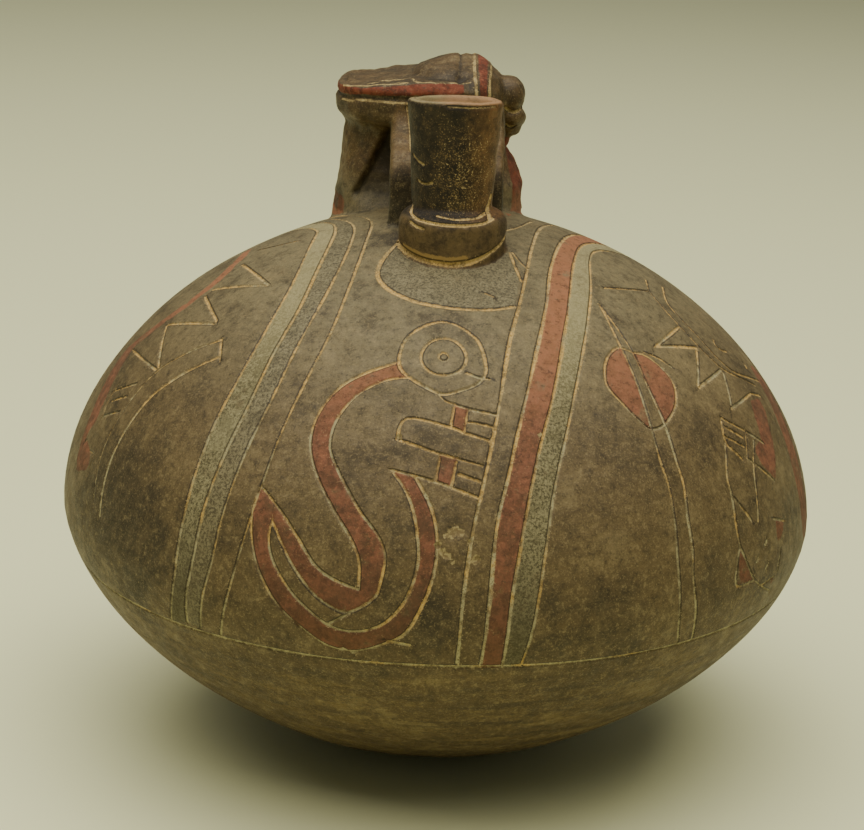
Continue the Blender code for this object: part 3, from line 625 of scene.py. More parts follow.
def head_point(across, depth, level):
    """A place on the head from shares of its height."""
    return np.array((HEAD_X, HEAD_Y, HEAD_FOOT)) + HEAD_HEIGHT * np.array((across, depth, level))


def head_ring(section, inset, sides):
    """One level section of the head."""
    level, left, right, back, front = section
    middle = head_point((left + right) / 2, (back + front) / 2, level)
    half_x = HEAD_HEIGHT * (right - left) / 2 - inset
    half_y = HEAD_HEIGHT * (front - back) / 2 - inset
    ring = []
    for side in range(sides):
        cosine, sine = math.cos(math.tau * side / sides), math.sin(math.tau * side / sides)
        further = square_reach(cosine, sine, HEAD_SQUARENESS)
        ring.append(middle + np.array((half_x * further * cosine, half_y * further * sine, 0)))
    return ring


def add_head(bm, inset, sections, sides):
    """The head's mass, or its hollow when it is set in by the wall."""
    rings = [head_ring(section, inset, sides) for section in sections]
    root = [point - np.array((0.0, 0.0, HEAD_ROOT)) for point in rings[0]]
    skin(bm, [root] + rings)


def lump(bm, place, size, sides=32, rings=20):
    """A rounded lump of clay, with its place and half sizes as shares of the head's height."""
    made = bmesh.ops.create_uvsphere(bm, u_segments=sides, v_segments=rings, radius=1.0)
    grown = Matrix.Diagonal(Vector(size) * HEAD_HEIGHT).to_4x4()
    bmesh.ops.transform(bm, matrix=Matrix.Translation(head_point(*place)) @ grown, verts=made["verts"])


# %% [markdown]
# The face looks away from the spout. It and the knot of the band are lumps of clay pressed on:
# rounded balls, stretched and placed as shares of the head's height, which melt together in the
# next step. Sculpting them would give no more at this size.

# %% The face and the knot
FACE_MIDDLE = (-0.035, 0.325, 0.260)
FACE_SIZE = (0.400, 0.235, 0.400)
EYE_SPREAD = 0.170
EYE_LEVEL = 0.365
EYE_SIZE = (0.095, 0.040, 0.042)
NOSE_LEVEL = 0.265
NOSE_SIZE = (0.055, 0.080, 0.120)
LIP_LEVELS = (0.115, 0.065)
LIP_SIZE = (0.115, 0.036, 0.028)
KNOT_LUMPS = (
    ((0.470, -0.060, 0.765), (0.118, 0.140, 0.118)),
    ((0.500, -0.050, 0.630), (0.098, 0.125, 0.080)),
    ((0.478, -0.030, 0.560), (0.085, 0.095, 0.060)),
    ((0.440, -0.030, 0.480), (0.055, 0.065, 0.060)),
)


def on_face(across, level):
    """The place of a feature on the rounded face."""
    aside = (across - FACE_MIDDLE[0]) / FACE_SIZE[0]
    upward = (level - FACE_MIDDLE[2]) / FACE_SIZE[2]
    bulge = math.sqrt(max(1.0 - aside ** 2 - upward ** 2, 0.0))
    return across, FACE_MIDDLE[1] + FACE_SIZE[1] * bulge, level


def add_lumps(bm):
    """The face with its features, and the knot of the band."""
    middle = FACE_MIDDLE[0]
    lump(bm, FACE_MIDDLE, FACE_SIZE, 64, 40)
    lump(bm, on_face(middle, NOSE_LEVEL), NOSE_SIZE)
    for level in LIP_LEVELS:
        lump(bm, on_face(middle, level), LIP_SIZE)
    for side in (-1, 1):
        lump(bm, on_face(middle + side * EYE_SPREAD, EYE_LEVEL), EYE_SIZE)
    for place, size in KNOT_LUMPS:
        lump(bm, place, size)


# %% [markdown]
# ## Melt the forms together
#
# A potter joins parts by smearing wet clay over the seams. A voxel remesh does nearly that: it
# makes one skin round everything that overlaps. It leaves small stairs, so each round of
# softening is followed by one that swells the form again by as much, and no size is lost.

# %% Melt the forms together
VOXEL = 0.7
MELT_ROUNDS = 3
MELT_SHARE = 0.5
SWELL_AGAIN = -1.04


def rows(items, name, width, kind=float):
    """What a mesh holds for each of its points or edges, as rows of an array."""
    values = np.empty(len(items) * width, kind)
    items.foreach_get(name, values)
    return values.reshape(-1, width)


def mesh_points(mesh):
    """A mesh's points."""
    return rows(mesh.vertices, "co", 3)


def mesh_edges(mesh):
    """A mesh's edges as pairs of point numbers."""
    return rows(mesh.edges, "vertices", 2, int)


def mesh_normals(mesh):
    """The normals of a mesh's points."""
    return rows(mesh.vertex_normals, "vector", 3)


def settle(mesh, points):
    """Write points back to a mesh."""
    mesh.vertices.foreach_set("co", points.ravel())
    mesh.update()


def applied(thing):
    """The object's mesh with its modifiers applied; the object itself goes."""
    bpy.context.view_layer.update()
    finished = thing.evaluated_get(bpy.context.evaluated_depsgraph_get())
    mesh = bpy.data.meshes.new_from_object(finished)
    bpy.data.objects.remove(thing, do_unlink=True)
    return mesh


def soften(points, edges, share, rounds):
    """Draw each point towards the middle of its neighbours, by its share, a few times over."""
    total = len(points)
    first, second = edges.T
    count = np.maximum(np.bincount(edges.ravel(), minlength=total), 1)[:, None]
    for _ in range(rounds):
        near = [np.bincount(first, points[second, axis], total)
                + np.bincount(second, points[first, axis], total) for axis in range(3)]
        points = points + share[:, None] * (np.stack(near, 1) / count - points)
    return points


bm = bmesh.new()
add_spout(bm)
add_strap(bm)
add_riser(bm)
add_head(bm, 0.0, HEAD_SECTIONS, HEAD_SIDES)
add_lumps(bm)
forms = make("forms", bm)
melt = forms.modifiers.new("Melt", "REMESH")
melt.mode = "VOXEL"
melt.voxel_size = VOXEL
forms_mesh = applied(forms)
form_points = mesh_points(forms_mesh)
full = np.full(len(form_points), MELT_SHARE)
for _ in range(MELT_ROUNDS):
    form_points = soften(form_points, mesh_edges(forms_mesh), full, 1)
    form_points = soften(form_points, mesh_edges(forms_mesh), SWELL_AGAIN * full, 1)
settle(forms_mesh, form_points)
print("melted forms:", len(forms_mesh.polygons), "faces")

# %% [markdown]
# ## Cut the lines into the wall
#
# Grooves this fine could be a bump in the material, but a real groove catches light from every
# side and is part of the mesh itself. So the flat chart is triangulated with strands beside
# and along each line as edges of the triangles. Raised onto the wall, the inner strands sink and
# leave a clean groove, while the plain clay between the lines keeps large triangles.

# %% How far the nearest stroke is
def closes(path):
    """Whether a path ends where it starts."""
    return np.linalg.norm(path[0] - path[-1]) < LINE_SAMPLE / 2


def segment_arm(points, first, second):
    """Arms from segments to points, taken at right angles where they can be."""
    runs = second - first
    square = np.maximum((runs ** 2).sum(1), 1e-9)
    share = np.clip(((points - first) * runs).sum(1) / square, 0.0, 1.0)
    return points - first - runs * share[:, None]


class Strokes:
    """Many strokes of the tool, which can say how far points lie from the nearest of them."""

    def __init__(self, paths, widths):
        self.samples = np.concatenate(paths)
        self.halves = np.concatenate(widths) / 2
        self.before = np.arange(len(self.samples)) - 1
        self.after = np.arange(len(self.samples)) + 1
        start = 0
        for path in paths:
            last = start + len(path) - 1
            self.before[start] = last - 1 if closes(path) else start
            self.after[last] = start + 1 if closes(path) else last
            start += len(path)
        self.tree = KDTree(len(self.samples))
        for index, point in enumerate(self.samples):
            self.tree.insert(point, index)
        self.tree.balance()

    def gap(self, points):
        """Distance to the nearest stroke in half widths, without and with its side."""
        near = np.array([self.tree.find(point)[1] for point in points])
        before, here, after = (self.samples[which] for which in (self.before[near], near, self.after[near]))
        back, ahead = segment_arm(points, before, here), segment_arm(points, here, after)
        closer = np.linalg.norm(ahead, axis=1) < np.linalg.norm(back, axis=1)
        arm = np.where(closer[:, None], ahead, back)
        side = np.sign((np.cross(after - before, points - BODY_MIDDLE) * arm).sum(1))
        gap = np.linalg.norm(arm, axis=1) / self.halves[near]
        return gap, gap * side


wall_lines = Strokes(line_paths, line_widths)

# %% [markdown]
# A constrained triangulation keeps chosen edges. Its spots are rings over the chart, wide apart on
# plain clay and tight where a seam will be smoothed. Its edges are the strands of each line, two
# beside the groove's middle, two on its borders and two outside, so every groove is clean.

# %% Triangulate the chart
WALL_FACET = 3.2
SEAM_FACET = 1.1
SEAM_REACH = 4.5
RIM_HEIGHT = 45.0
RIM_COUNT = 200
LINE_MERGE = 0.04
LINE_MARGIN = 2.8
SEAM_LOWEST = 118.0
STRANDS = (-1.8, -1.0, -0.45, 0.45, 1.0, 1.8)

form_polygons = [tuple(face.vertices) for face in forms_mesh.polygons]
form_tree = BVHTree.FromPolygons([Vector(point) for point in mesh_points(forms_mesh)], form_polygons)


def gap_to_forms(points):
    """Distance from points to the melted forms, below zero inside them."""
    gaps = []
    for point in points:
        place, normal, _, distance = form_tree.find_nearest(Vector(point))
        gaps.append(distance if (Vector(point) - place).dot(normal) > 0 else -distance)
    return np.array(gaps)


def chart_rings(facet, last_length):
    """Staggered rings of spots over the chart."""
    rings = int(round(last_length / facet))
    spots = [(0.0, 0.0)]
    for ring in range(1, rings):
        length = last_length * ring / rings
        radius = float(np.interp(length, profile_length, profile_across))
        count = max(int(round(2 * math.pi * radius / facet)), 6)
        for index in range(count):
            turn = 2 * math.pi * (index + (ring % 2) / 2) / count
            spots.append((length * math.sin(turn), -length * math.cos(turn)))
    return np.array(spots)


rim_length = float(length_at(RIM_HEIGHT))
wide = chart_rings(WALL_FACET, rim_length)
wide_gap = gap_to_forms(from_chart(wide))
wide = wide[(wide_gap > SEAM_REACH) | (wide_gap < -SEAM_FACET)]
tight = chart_rings(SEAM_FACET, float(length_at(SEAM_LOWEST)))
tight_gap = gap_to_forms(from_chart(tight))
tight = tight[(tight_gap <= SEAM_REACH) & (tight_gap >= -SEAM_FACET)]
spots = np.concatenate((wide, tight))
spots = spots[wall_lines.gap(from_chart(spots))[0] > LINE_MARGIN]
rim_turns = [2 * math.pi * index / RIM_COUNT for index in range(RIM_COUNT)]
rim = [(rim_length * math.sin(turn), -rim_length * math.cos(turn)) for turn in rim_turns]
chart_spots = [Vector(spot) for spot in rim] + [Vector(spot) for spot in spots]
chart_edges = [(index, (index + 1) % RIM_COUNT) for index in range(RIM_COUNT)]
for path, widths in zip(line_paths, line_widths):
    closed = closes(path)
    after = np.roll(path, -1, axis=0)
    before = np.roll(path, 1, axis=0)
    if closed:
        after[-1], before[0] = path[1], path[-2]
    else:
        after[-1], before[0] = path[-1], path[0]
    along = after - before
    across = np.cross(along, path - BODY_MIDDLE)
    across /= np.linalg.norm(across, axis=1)[:, None]
    along /= np.linalg.norm(along, axis=1)[:, None]
    for strand in STRANDS:
        row = path + across * widths[:, None] / 2 * strand
        if not closed:
            cap = max(1.0 - abs(strand) / 2, 0.3)
            row = np.concatenate((path[:1] - along[:1] * widths[0] / 2 * cap, row,
                                  path[-1:] + along[-1:] * widths[-1] / 2 * cap))
        first = len(chart_spots)
        chart_spots += [Vector(spot) for spot in to_chart(to_wall(row))]
        chart_edges += [(first + index, first + index + 1) for index in range(len(row) - 1)]
flat, _, wall_faces, _, _, _ = delaunay_2d_cdt(chart_spots, chart_edges, [], 1, LINE_MERGE, False)
wall_points = from_chart(np.array([spot[:] for spot in flat]))
wall_gap, _ = wall_lines.gap(wall_points)
print(len(wall_faces), "wall triangles,", len(spots), "free spots")

# %% [markdown]
# Now the chart is raised onto the wall, and points inside a line sink by a parabola, deepest in
# its middle, as the blunt point of a tool leaves them. Under the girdle the bowl is plain, so its
# rings are simply extruded down to the small flat spot that the bottle stands on.

# %% Sink the grooves and close the bowl
outward = (wall_points - BODY_MIDDLE) / np.linalg.norm(wall_points - BODY_MIDDLE, axis=1)[:, None]
sunk = wall_points - outward * (LINE_DEPTH * np.clip(1.0 - wall_gap ** 2, 0.0, 1.0))[:, None]
bm = bmesh.new()
verts = [bm.verts.new(point) for point in sunk]
for face in wall_faces:
    bm.faces.new([verts[index] for index in face])
rim_edges = [edge for edge in bm.edges if edge.is_boundary]
bottom_length = float(length_at(0.0))
bowl_rings = int((bottom_length - rim_length) / WALL_FACET) + 2
for length in np.linspace(rim_length, bottom_length, bowl_rings)[1:]:
    grown = bmesh.ops.extrude_edge_only(bm, edges=rim_edges)["geom"]
    rim_edges = [part for part in grown if isinstance(part, bmesh.types.BMEdge) and part.is_boundary]
    ring = list({vert for edge in rim_edges for vert in edge.verts})
    turns = [math.atan2(vert.co.x, -vert.co.y) for vert in ring]
    flat_ring = np.array([(length * math.sin(turn), -length * math.cos(turn)) for turn in turns])
    for vert, place in zip(ring, from_chart(flat_ring)):
        vert.co = place
bmesh.ops.contextual_create(bm, geom=rim_edges)
body = make("body", bm)
print("rings down the bowl:", bowl_rings - 1)

# %% [markdown]
# ## Join and hollow
#
# The body, the melted forms and the hollows meet in Boolean modifiers. The chamber follows the
# wall 5 mm inside it, the bore opens it through the spout, and the lip of the bore is rounded.

# %% Boolean joins
BODY_WALL = 5.0
FLOOR_WALL = 6.0
HEAD_WALL = 5.0
LIP = 1.1
CLEAR = 2.0
CHAMBER_SIDES = 64
BORE_SIDES = 60


def chamber_profile():
    """The chamber's profile from top to bottom, as radius and height."""
    across, up = quarter(BODY_RADIUS - BODY_WALL, CROWN_RISE - BODY_WALL, CROWN_ROUNDNESS, 16)
    under, down = quarter(BODY_RADIUS - BODY_WALL, WIDEST_HEIGHT - FLOOR_WALL, BOTTOM_ROUNDNESS, 14)
    return (list(zip(across[1:], WIDEST_HEIGHT + up[1:]))
            + list(zip(under[::-1][1:-1], WIDEST_HEIGHT - down[::-1][1:-1])))


def bore_profile():
    """The bore from inside the chamber out of the spout, with its rounded lip."""
    profile = [(SPOUT_FOOT_RADIUS - SPOUT_WALL, COLLAR_FOOT - CLEAR)]
    profile += [(spout_radius(height) - SPOUT_WALL, height)
                for height in np.linspace(COLLAR_TOP, SPOUT_TOP - LIP, 12)]
    rim_bore = SPOUT_RIM_RADIUS - SPOUT_WALL
    for angle in range(15, 91, 15):
        turn = math.radians(angle)
        profile.append((rim_bore + LIP * (1 - math.cos(turn)), SPOUT_TOP - LIP + LIP * math.sin(turn)))
    profile.append((rim_bore + LIP * 1.2, SPOUT_TOP + CLEAR))
    return profile


bm = bmesh.new()
skin(bm, [circle(radius, height, CHAMBER_SIDES) for radius, height in chamber_profile()])
chamber_form = make("chamber", bm)
bm = bmesh.new()
skin(bm, [circle(radius, height, BORE_SIDES, (SPOUT_X, SPOUT_Y)) for radius, height in bore_profile()])
bore_form = make("bore", bm)
bm = bmesh.new()
add_head(bm, HEAD_WALL, HEAD_SECTIONS[1:10:2], 32)
hollow_form = make("head hollow", bm)

forms = bpy.data.objects.new("forms", forms_mesh)
bpy.context.scene.collection.objects.link(forms)
for operation, other in (("UNION", forms), ("DIFFERENCE", chamber_form), ("DIFFERENCE", hollow_form),
                         ("DIFFERENCE", bore_form)):
    step = body.modifiers.new(operation.title() + " " + other.name, "BOOLEAN")
    step.operation = operation
    step.object = other
    step.solver = "EXACT"
bottle_mesh = applied(body)
for other in (forms, chamber_form, hollow_form, bore_form):
    bpy.data.objects.remove(other, do_unlink=True)
bm = bmesh.new()
bm.from_mesh(bottle_mesh)
bmesh.ops.triangulate(bm, faces=bm.faces)
bm.to_mesh(bottle_mesh)
open_edges = sum(1 for edge in bm.edges if not edge.is_manifold)
bm.free()
print("joined bottle:", len(bottle_mesh.polygons), "triangles,", open_edges, "open edges")

# %% [markdown]
# ## Strokes on the spout, the collar and the head
#
# The same tool ran round the foot of the spout and of the collar, and along the band of the head.
# Those strokes are found by looking inward at the melted forms from around their own middle, at
# chosen angles and heights, and keeping what the look meets.

# %% Strokes round the spout and the head
LOOK_FROM = 20.0
LOOK_STEP = 4.0
STROKE_SAMPLE = 0.6


def round_stroke(middle, distance, turns, heights):
    """A path round a middle, where level looks inward from a distance meet the melted forms."""
    path = []
    for turn, height in zip(np.radians(turns), heights):
        away = Vector((math.sin(turn), -math.cos(turn), 0.0))
        centre = Vector((middle[0], middle[1], height))
        place = form_tree.ray_cast(centre + away * distance, -away)[0]
        path.append(place)
    return np.array(path)


def round_the_spout(corners):
    """A stroke round the spout, from a few angles and heights."""
    turns, heights = np.array(corners, float).T
    fine = np.arange(turns[0], turns[-1], LOOK_STEP)
    path = round_stroke((SPOUT_X, SPOUT_Y), LOOK_FROM, fine, np.interp(fine, turns, heights))
    return evenly(path, STROKE_SAMPLE)


SPOUT_STROKES = (
    (((-100, 140.5), (-75, 138.6), (-45, 137.1), (-15, 136.7), (10, 136.6), (35, 136.8), (60, 137.7)), 1.0),
    (((-20, 138.3), (5, 137.9), (30, 138.0), (55, 138.7)), 1.0),
    (((48, 137.4), (60, 138.8), (68, 140.4), (74, 142.6)), 1.5),
    (((-52, 136.2), (-40, 135.4), (-30, 135.2)), 0.8),
    (((-104, 130.6), (-60, 128.9), (-30, 127.9), (0, 127.4), (20, 128.0), (40, 129.4), (62, 131.2),
      (85, 133.0), (104, 133.4)), 1.35),
    (((-72, 150.9), (-56, 149.8), (-41, 149.2)), 0.9),
    (((-57, 145.4), (-47, 144.9), (-39, 144.9), (-26, 145.6)), 0.8),
    (((-10, 162.3), (25, 162.2), (62, 162.4)), 0.45),
)
LOOSE_STROKES = (
    ((-10.7, 6.6, 157.0), (-10.2, 6.5, 155.1), (-9.8, 4.8, 152.4), (-9.5, 0.6, 150.9), (-9.3, -3.4, 149.9),
     (-9.2, -6.3, 148.8)),
)
KNOB_ARCS = (
    ((13.1, 156.0), (14.2, 155.0), (15.6, 154.6), (17.0, 155.1), (17.7, 156.2)),
    ((12.8, 151.8), (13.8, 150.9), (15.2, 150.4), (16.2, 150.8)),
)
GOLDEN_WASH = ((-64, 130.2), (-30, 129.0), (0, 128.6), (18, 129.1))
LOOSE_WIDTH = 0.9
ARC_WIDTH = 0.8
ARC_VIEW = 8.0
form_strokes = [round_the_spout(corners) for corners, _ in SPOUT_STROKES]
form_widths = [np.full(len(path), width) for path, (_, width) in zip(form_strokes, SPOUT_STROKES)]
for corners in LOOSE_STROKES:
    loose = evenly(curve_through(np.array(corners, float)), STROKE_SAMPLE)
    form_strokes.append(np.array([form_tree.find_nearest(Vector(point))[0] for point in loose]))
    form_widths.append(np.full(len(loose), LOOSE_WIDTH))
for corners in KNOB_ARCS:
    arc = evenly(curve_through(np.array(corners)), STROKE_SAMPLE)
    looks = [form_tree.ray_cast(Vector((across, ARC_VIEW, level)), Vector((0, 1, 0)))[0]
             for across, level in arc]
    form_strokes.append(np.array([place for place in looks if place is not None]))
    form_widths.append(np.full(len(form_strokes[-1]), ARC_WIDTH))
wash_path = round_the_spout(GOLDEN_WASH)
form_widths = [widths * pressure(path, 0.35, 70 + index)
               for index, (path, widths) in enumerate(zip(form_strokes, form_widths))]
form_lines = Strokes(form_strokes, form_widths)
print(len(form_strokes), "strokes on the forms")

# %% [markdown]
# Two places need finer clay: the strokes on the forms, and a few chips where the surface has
# flaked off the real bottle. Splitting only the edges near them keeps the mesh light, where a
# subdivision of everything would quadruple it.

# %% Finer triangles where they are needed
CHIPS = (((2.6, 81.0), 1.25), ((3.5, 81.3), 1.2), ((1.7, 80.4), 0.7), ((0.6, 78.4), 0.85),
         ((1.3, 77.2), 0.8), ((1.9, 76.3), 0.9), ((2.6, 75.2), 0.75), ((6.0, 75.6), 1.1),
         ((5.0, 79.2), 0.6), ((-6.3, 98.4), 0.8), ((16.6, 99.2), 0.8), ((1.4, 71.5), 0.55),
         ((2.3, 71.9), 0.5))
STROKE_REACH = 2.4
CHIP_REACHES = (1.2, 0.8)
chip_middles = np.array([on_wall([place])[0] for place, _ in CHIPS])
chip_sizes = np.array([size for _, size in CHIPS])


def chip_gap(points):
    """Distance from points to the edge of the nearest chip, below zero inside it."""
    gaps = np.linalg.norm(points[:, None] - chip_middles[None], axis=2) - chip_sizes[None]
    return gaps.min(1)


def refine(mesh, wanted):
    """Split the edges of a mesh whose two ends are both wanted, and keep it triangles."""
    bm = bmesh.new()
    bm.from_mesh(mesh)
    edges = [edge for edge in bm.edges if wanted[edge.verts[0].index] and wanted[edge.verts[1].index]]
    bmesh.ops.subdivide_edges(bm, edges=edges, cuts=1)
    bmesh.ops.triangulate(bm, faces=bm.faces)
    bm.to_mesh(mesh)
    bm.free()


points = mesh_points(bottle_mesh)
close_to_form = np.abs(gap_to_forms(points)) < 0.02
refine(bottle_mesh, close_to_form & (form_lines.gap(points)[0] < STROKE_REACH))
for chip_reach in CHIP_REACHES:
    refine(bottle_mesh, chip_gap(mesh_points(bottle_mesh)) < chip_reach)
points, edges = mesh_points(bottle_mesh), mesh_edges(bottle_mesh)
print("refined bottle:", len(bottle_mesh.polygons), "triangles")

# %% [markdown]
# ## Soften the seams
#
# Where the collar, the strap and the head meet the body, the real joins are smeared smooth. A
# Boolean leaves a crease instead. Points near a seam are drawn towards their neighbours, most of
# all in the seam itself. Round the collar less is done, because its edge is crisp in the photo.

# %% Soften the seams
SEAM_BLEND = 3.2
SEAM_ROUNDS = 24
COLLAR_MARGIN = 4.0
COLLAR_BLEND = 0.3
form_gap = gap_to_forms(points)
wall_depth = (1.0 - reach(points)) * np.linalg.norm(points - BODY_MIDDLE, axis=1)
on_forms = np.abs(form_gap) < 0.05
on_body = (np.abs(wall_depth) < LINE_DEPTH * 1.5) & ~on_forms
outside = on_forms | on_body
spout_way = np.hypot(points[:, 0] - SPOUT_X, points[:, 1] - SPOUT_Y)
seam_gap = np.where(on_forms, np.abs(wall_depth), form_gap)
blend = np.where(outside, np.clip(1.0 - seam_gap / SEAM_BLEND, 0.0, 1.0), 0.0)
blend *= np.where(spout_way < COLLAR_RADIUS + COLLAR_MARGIN, COLLAR_BLEND, 1.0)
points = soften(points, edges, blend * 0.5, SEAM_ROUNDS)
settle(bottle_mesh, points)
print("points drawn together at the seams:", int((blend > 0).sum()))

# %% [markdown]
# ## Carve the head and shape the surface
#
# The head is wrapped in a band: a red strip between two grooves with a roll below it, a wrap that
# crosses on the right, and hair that falls on the left. These are soft steps of a millimetre or
# two, so points are moved by smooth bumps of their place instead of being modelled apart.

# %% Carve the folds of the head
def ramp(gap, length):
    """0 where a gap is below zero, rising to 1 over a length."""
    return np.clip(gap / length, 0.0, 1.0)


def bump_over(value, low, high, edge):
    """1 between two values and 0 outside them, with soft edges."""
    rise, fall = ramp(value - low, edge), ramp(high - value, edge)
    return rise * rise * (3 - 2 * rise) * fall * fall * (3 - 2 * fall)


def dip(value, width):
    """A soft round dip around zero."""
    return np.exp(-(value / width) ** 2)


BAND_X = (-28.0, -21.0, -10.0, 3.0, 14.0)
CAP_GROOVE = (161.3, 162.4, 163.8, 164.0, 163.8)
RED_TOP = (160.2, 161.3, 162.7, 162.9, 162.8)
RED_BOTTOM = (158.1, 159.2, 159.8, 160.6, 160.6)
BAND_GROOVE = (157.7, 158.7, 158.9, 159.4, 159.4)
ROLL_TOP = (156.8, 158.0, 157.9, 158.0, 158.0)
CAP_X = (-28.0, -22.0, -16.5, -10.0, -5.0, -1.0, 2.0, 5.0, 10.0)
CAP_LOWER = (0.8, 2.0, 2.7, 2.3, 1.1, 0.3, 0.1, 0.6, 0.2)
HEAD_BACK, HEAD_LOWEST = 6.8, 129.0
BAND_BACK, BAND_LOWEST = 5.9, 157.3
CAP_BACK, CAP_BACK_FADE = 7.5, 6.0
CAP_LOWEST, CAP_FADE = 160.0, 3.5
CAP_GROOVE_DEPTH, CAP_GROOVE_WIDTH = 1.1, 0.6
BAND_GROOVE_DEPTH, BAND_GROOVE_WIDTH = 0.9, 0.5
GROOVES_ACROSS = (-40.0, 4.2, 1.2)
WRAP_ACROSS = (4.4, 9.8, 0.9)
WRAP_LOWEST = 155.5
WRAP_RAISED = 0.55
CLEFT_X, CLEFT_WIDTH, CLEFT_DEPTH = 1.9, 0.7, 0.7
CLEFT_HEIGHTS = (162.6, 175.0, 0.8)
DRAPE_HEIGHTS = (130.0, 134.5, 138.6, 144.9, 151.8, 155.4)
DRAPE_EDGE_X = (-25.2, -23.8, -21.4, -18.4, -15.3, -13.6)
HAIR_HEIGHTS = (131.0, 154.5, 4.0)
HAIR_INNER_X = -11.5
FACES_BACK = 0.3
HAIR_PUSHED, PUSHED_BESIDE = 2.2, (-0.4, 12.0, 2.4)
HAIR_RAISED, RAISED_BESIDE = 0.8, (-5.0, 0.8, 2.0)
normals = mesh_normals(bottle_mesh)
x, y, z = points.T
cap_groove_z, band_groove_z = np.interp(x, BAND_X, CAP_GROOVE), np.interp(x, BAND_X, BAND_GROOVE)
on_head = on_forms & (y > HEAD_BACK) & (z > HEAD_LOWEST)
on_band = on_head | (on_forms & (y > BAND_BACK) & (z > BAND_LOWEST))
cap_share = ramp(y - CAP_BACK, CAP_BACK_FADE) * ramp(z - CAP_LOWEST, CAP_FADE) * on_head
points[:, 2] -= np.interp(x, CAP_X, CAP_LOWER) * cap_share
cap_groove = CAP_GROOVE_DEPTH * dip(z - cap_groove_z, CAP_GROOVE_WIDTH)
band_groove = BAND_GROOVE_DEPTH * dip(z - band_groove_z, BAND_GROOVE_WIDTH)
away = -(cap_groove + band_groove) * (bump_over(x, *GROOVES_ACROSS) * on_band)
away += WRAP_RAISED * bump_over(x, *WRAP_ACROSS) * (z > WRAP_LOWEST) * on_head
away -= CLEFT_DEPTH * dip(x - CLEFT_X, CLEFT_WIDTH) * bump_over(z, *CLEFT_HEIGHTS) * on_head
points = points + normals * away[:, None]
drape = x - np.interp(z, DRAPE_HEIGHTS, DRAPE_EDGE_X)
hair_side = on_head * bump_over(z, *HAIR_HEIGHTS) * (normals[:, 1] < FACES_BACK) * (x < HAIR_INNER_X)
pushed, raised = bump_over(drape, *PUSHED_BESIDE), bump_over(drape, *RAISED_BESIDE)
points[:, 1] += hair_side * (HAIR_PUSHED * pushed - HAIR_RAISED * raised)
settle(bottle_mesh, points)
print("folds move the clay by up to", round(float(np.abs(away).max()), 2), "mm")

# %% [markdown]
# The strokes on the forms and the chips sink in here. Nothing that a hand has shaped is quite
# even, so smooth noise then moves the surface by a fraction of a millimetre: long waves on the
# body, and small lumps on the head. The underside stays flat, because the bottle stands on it.

# %% Strokes and a hand-shaped surface
def rough(size, seed):
    """Smooth random heights over the surface, about -1 to 1."""
    shift = Vector((seed, 2 * seed, 3 * seed))
    return np.array([noise.noise(Vector(point / size) + shift) for point in points]) * 2.0


STROKE_DEPTH = 0.45
CHIP_DEPTH, CHIP_EDGE = 0.35, 0.6
SPOUT_WIDER = 0.052
SPOUT_ASIDE = -0.4
SPOUT_REACH = 11.6
SPOUT_BACK = -9.0
SPOUT_FADE = (137.5, 3.0)
RIM_RAISED = 1.1
RIM_FADE = (150.0, 12.0)
WAVE_RISE, WAVE_LENGTH = 0.16, 26.0
LUMP_RISE, LUMP_LENGTH = 0.28, 6.0
GRAIN_RISE, GRAIN_LENGTH = 0.10, 2.2
JOIN_RISE, JOIN_LENGTH = 0.16, 7.0
FOOT_FADE = 3.0
form_stroke, form_side = form_lines.gap(points)
wall_stroke, wall_side = wall_lines.gap(points)
spout_share = ramp(z - SPOUT_FADE[0], SPOUT_FADE[1]) * (spout_way < SPOUT_REACH) * (y < SPOUT_BACK)
front_share = ramp(SPOUT_Y + SPOUT_RIM_RADIUS - y, 2 * SPOUT_RIM_RADIUS)
points[:, 0] += spout_share * ((x - SPOUT_X) * SPOUT_WIDER + SPOUT_ASIDE)
points[:, 2] += spout_share * RIM_RAISED * front_share * ramp(z - RIM_FADE[0], RIM_FADE[1])
normals = mesh_normals(bottle_mesh)
sink = STROKE_DEPTH * np.clip(1.0 - form_stroke ** 2, 0.0, 1.0) * on_forms
sink += CHIP_DEPTH * ramp(-chip_gap(points), CHIP_EDGE) * on_body
uneven = WAVE_RISE * rough(WAVE_LENGTH, 1) * outside
lumps = LUMP_RISE * rough(LUMP_LENGTH, 2) + GRAIN_RISE * rough(GRAIN_LENGTH, 3)
uneven += np.where(on_head, lumps, 0.0)
uneven += np.where(on_forms & ~on_head, JOIN_RISE * rough(JOIN_LENGTH, 4), 0.0)
uneven *= ramp(z, FOOT_FADE)
points = points + normals * (uneven - sink)[:, None]
points[:, 2] = np.maximum(points[:, 2], 0.0)
settle(bottle_mesh, points)
print("surface finished, from", points.min(0).round(1), "to", points.max(0).round(1))

# %% [markdown]
# The finished mesh is scaled to metres and becomes the one visible piece. It rides on the fixed
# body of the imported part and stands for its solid.

# %% Bring it to metres
settle(bottle_mesh, points * MM)
bottle = bpy.data.objects.new("bottle_clay", bottle_mesh)
bpy.context.scene.collection.objects.link(bottle)
bottle_mesh.shade_smooth()
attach(bottle, "root")
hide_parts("bottle")
print("the bottle is", [round(side, 4) for side in bottle.dimensions], "m")

# %% [markdown]
# ## Where each paint lies
#
# After firing, the maker filled some areas between the lines with resin paint, red or grey, and
# pale dust has settled in the grooves since. The material has to know how far each point lies
# inside an area, so that paint can thin out and chip at its edge. Those distances are worked out
# once for each point of the mesh and stored there as named values, which the material reads.

# %% Distance inside an area
FAR = 3.0


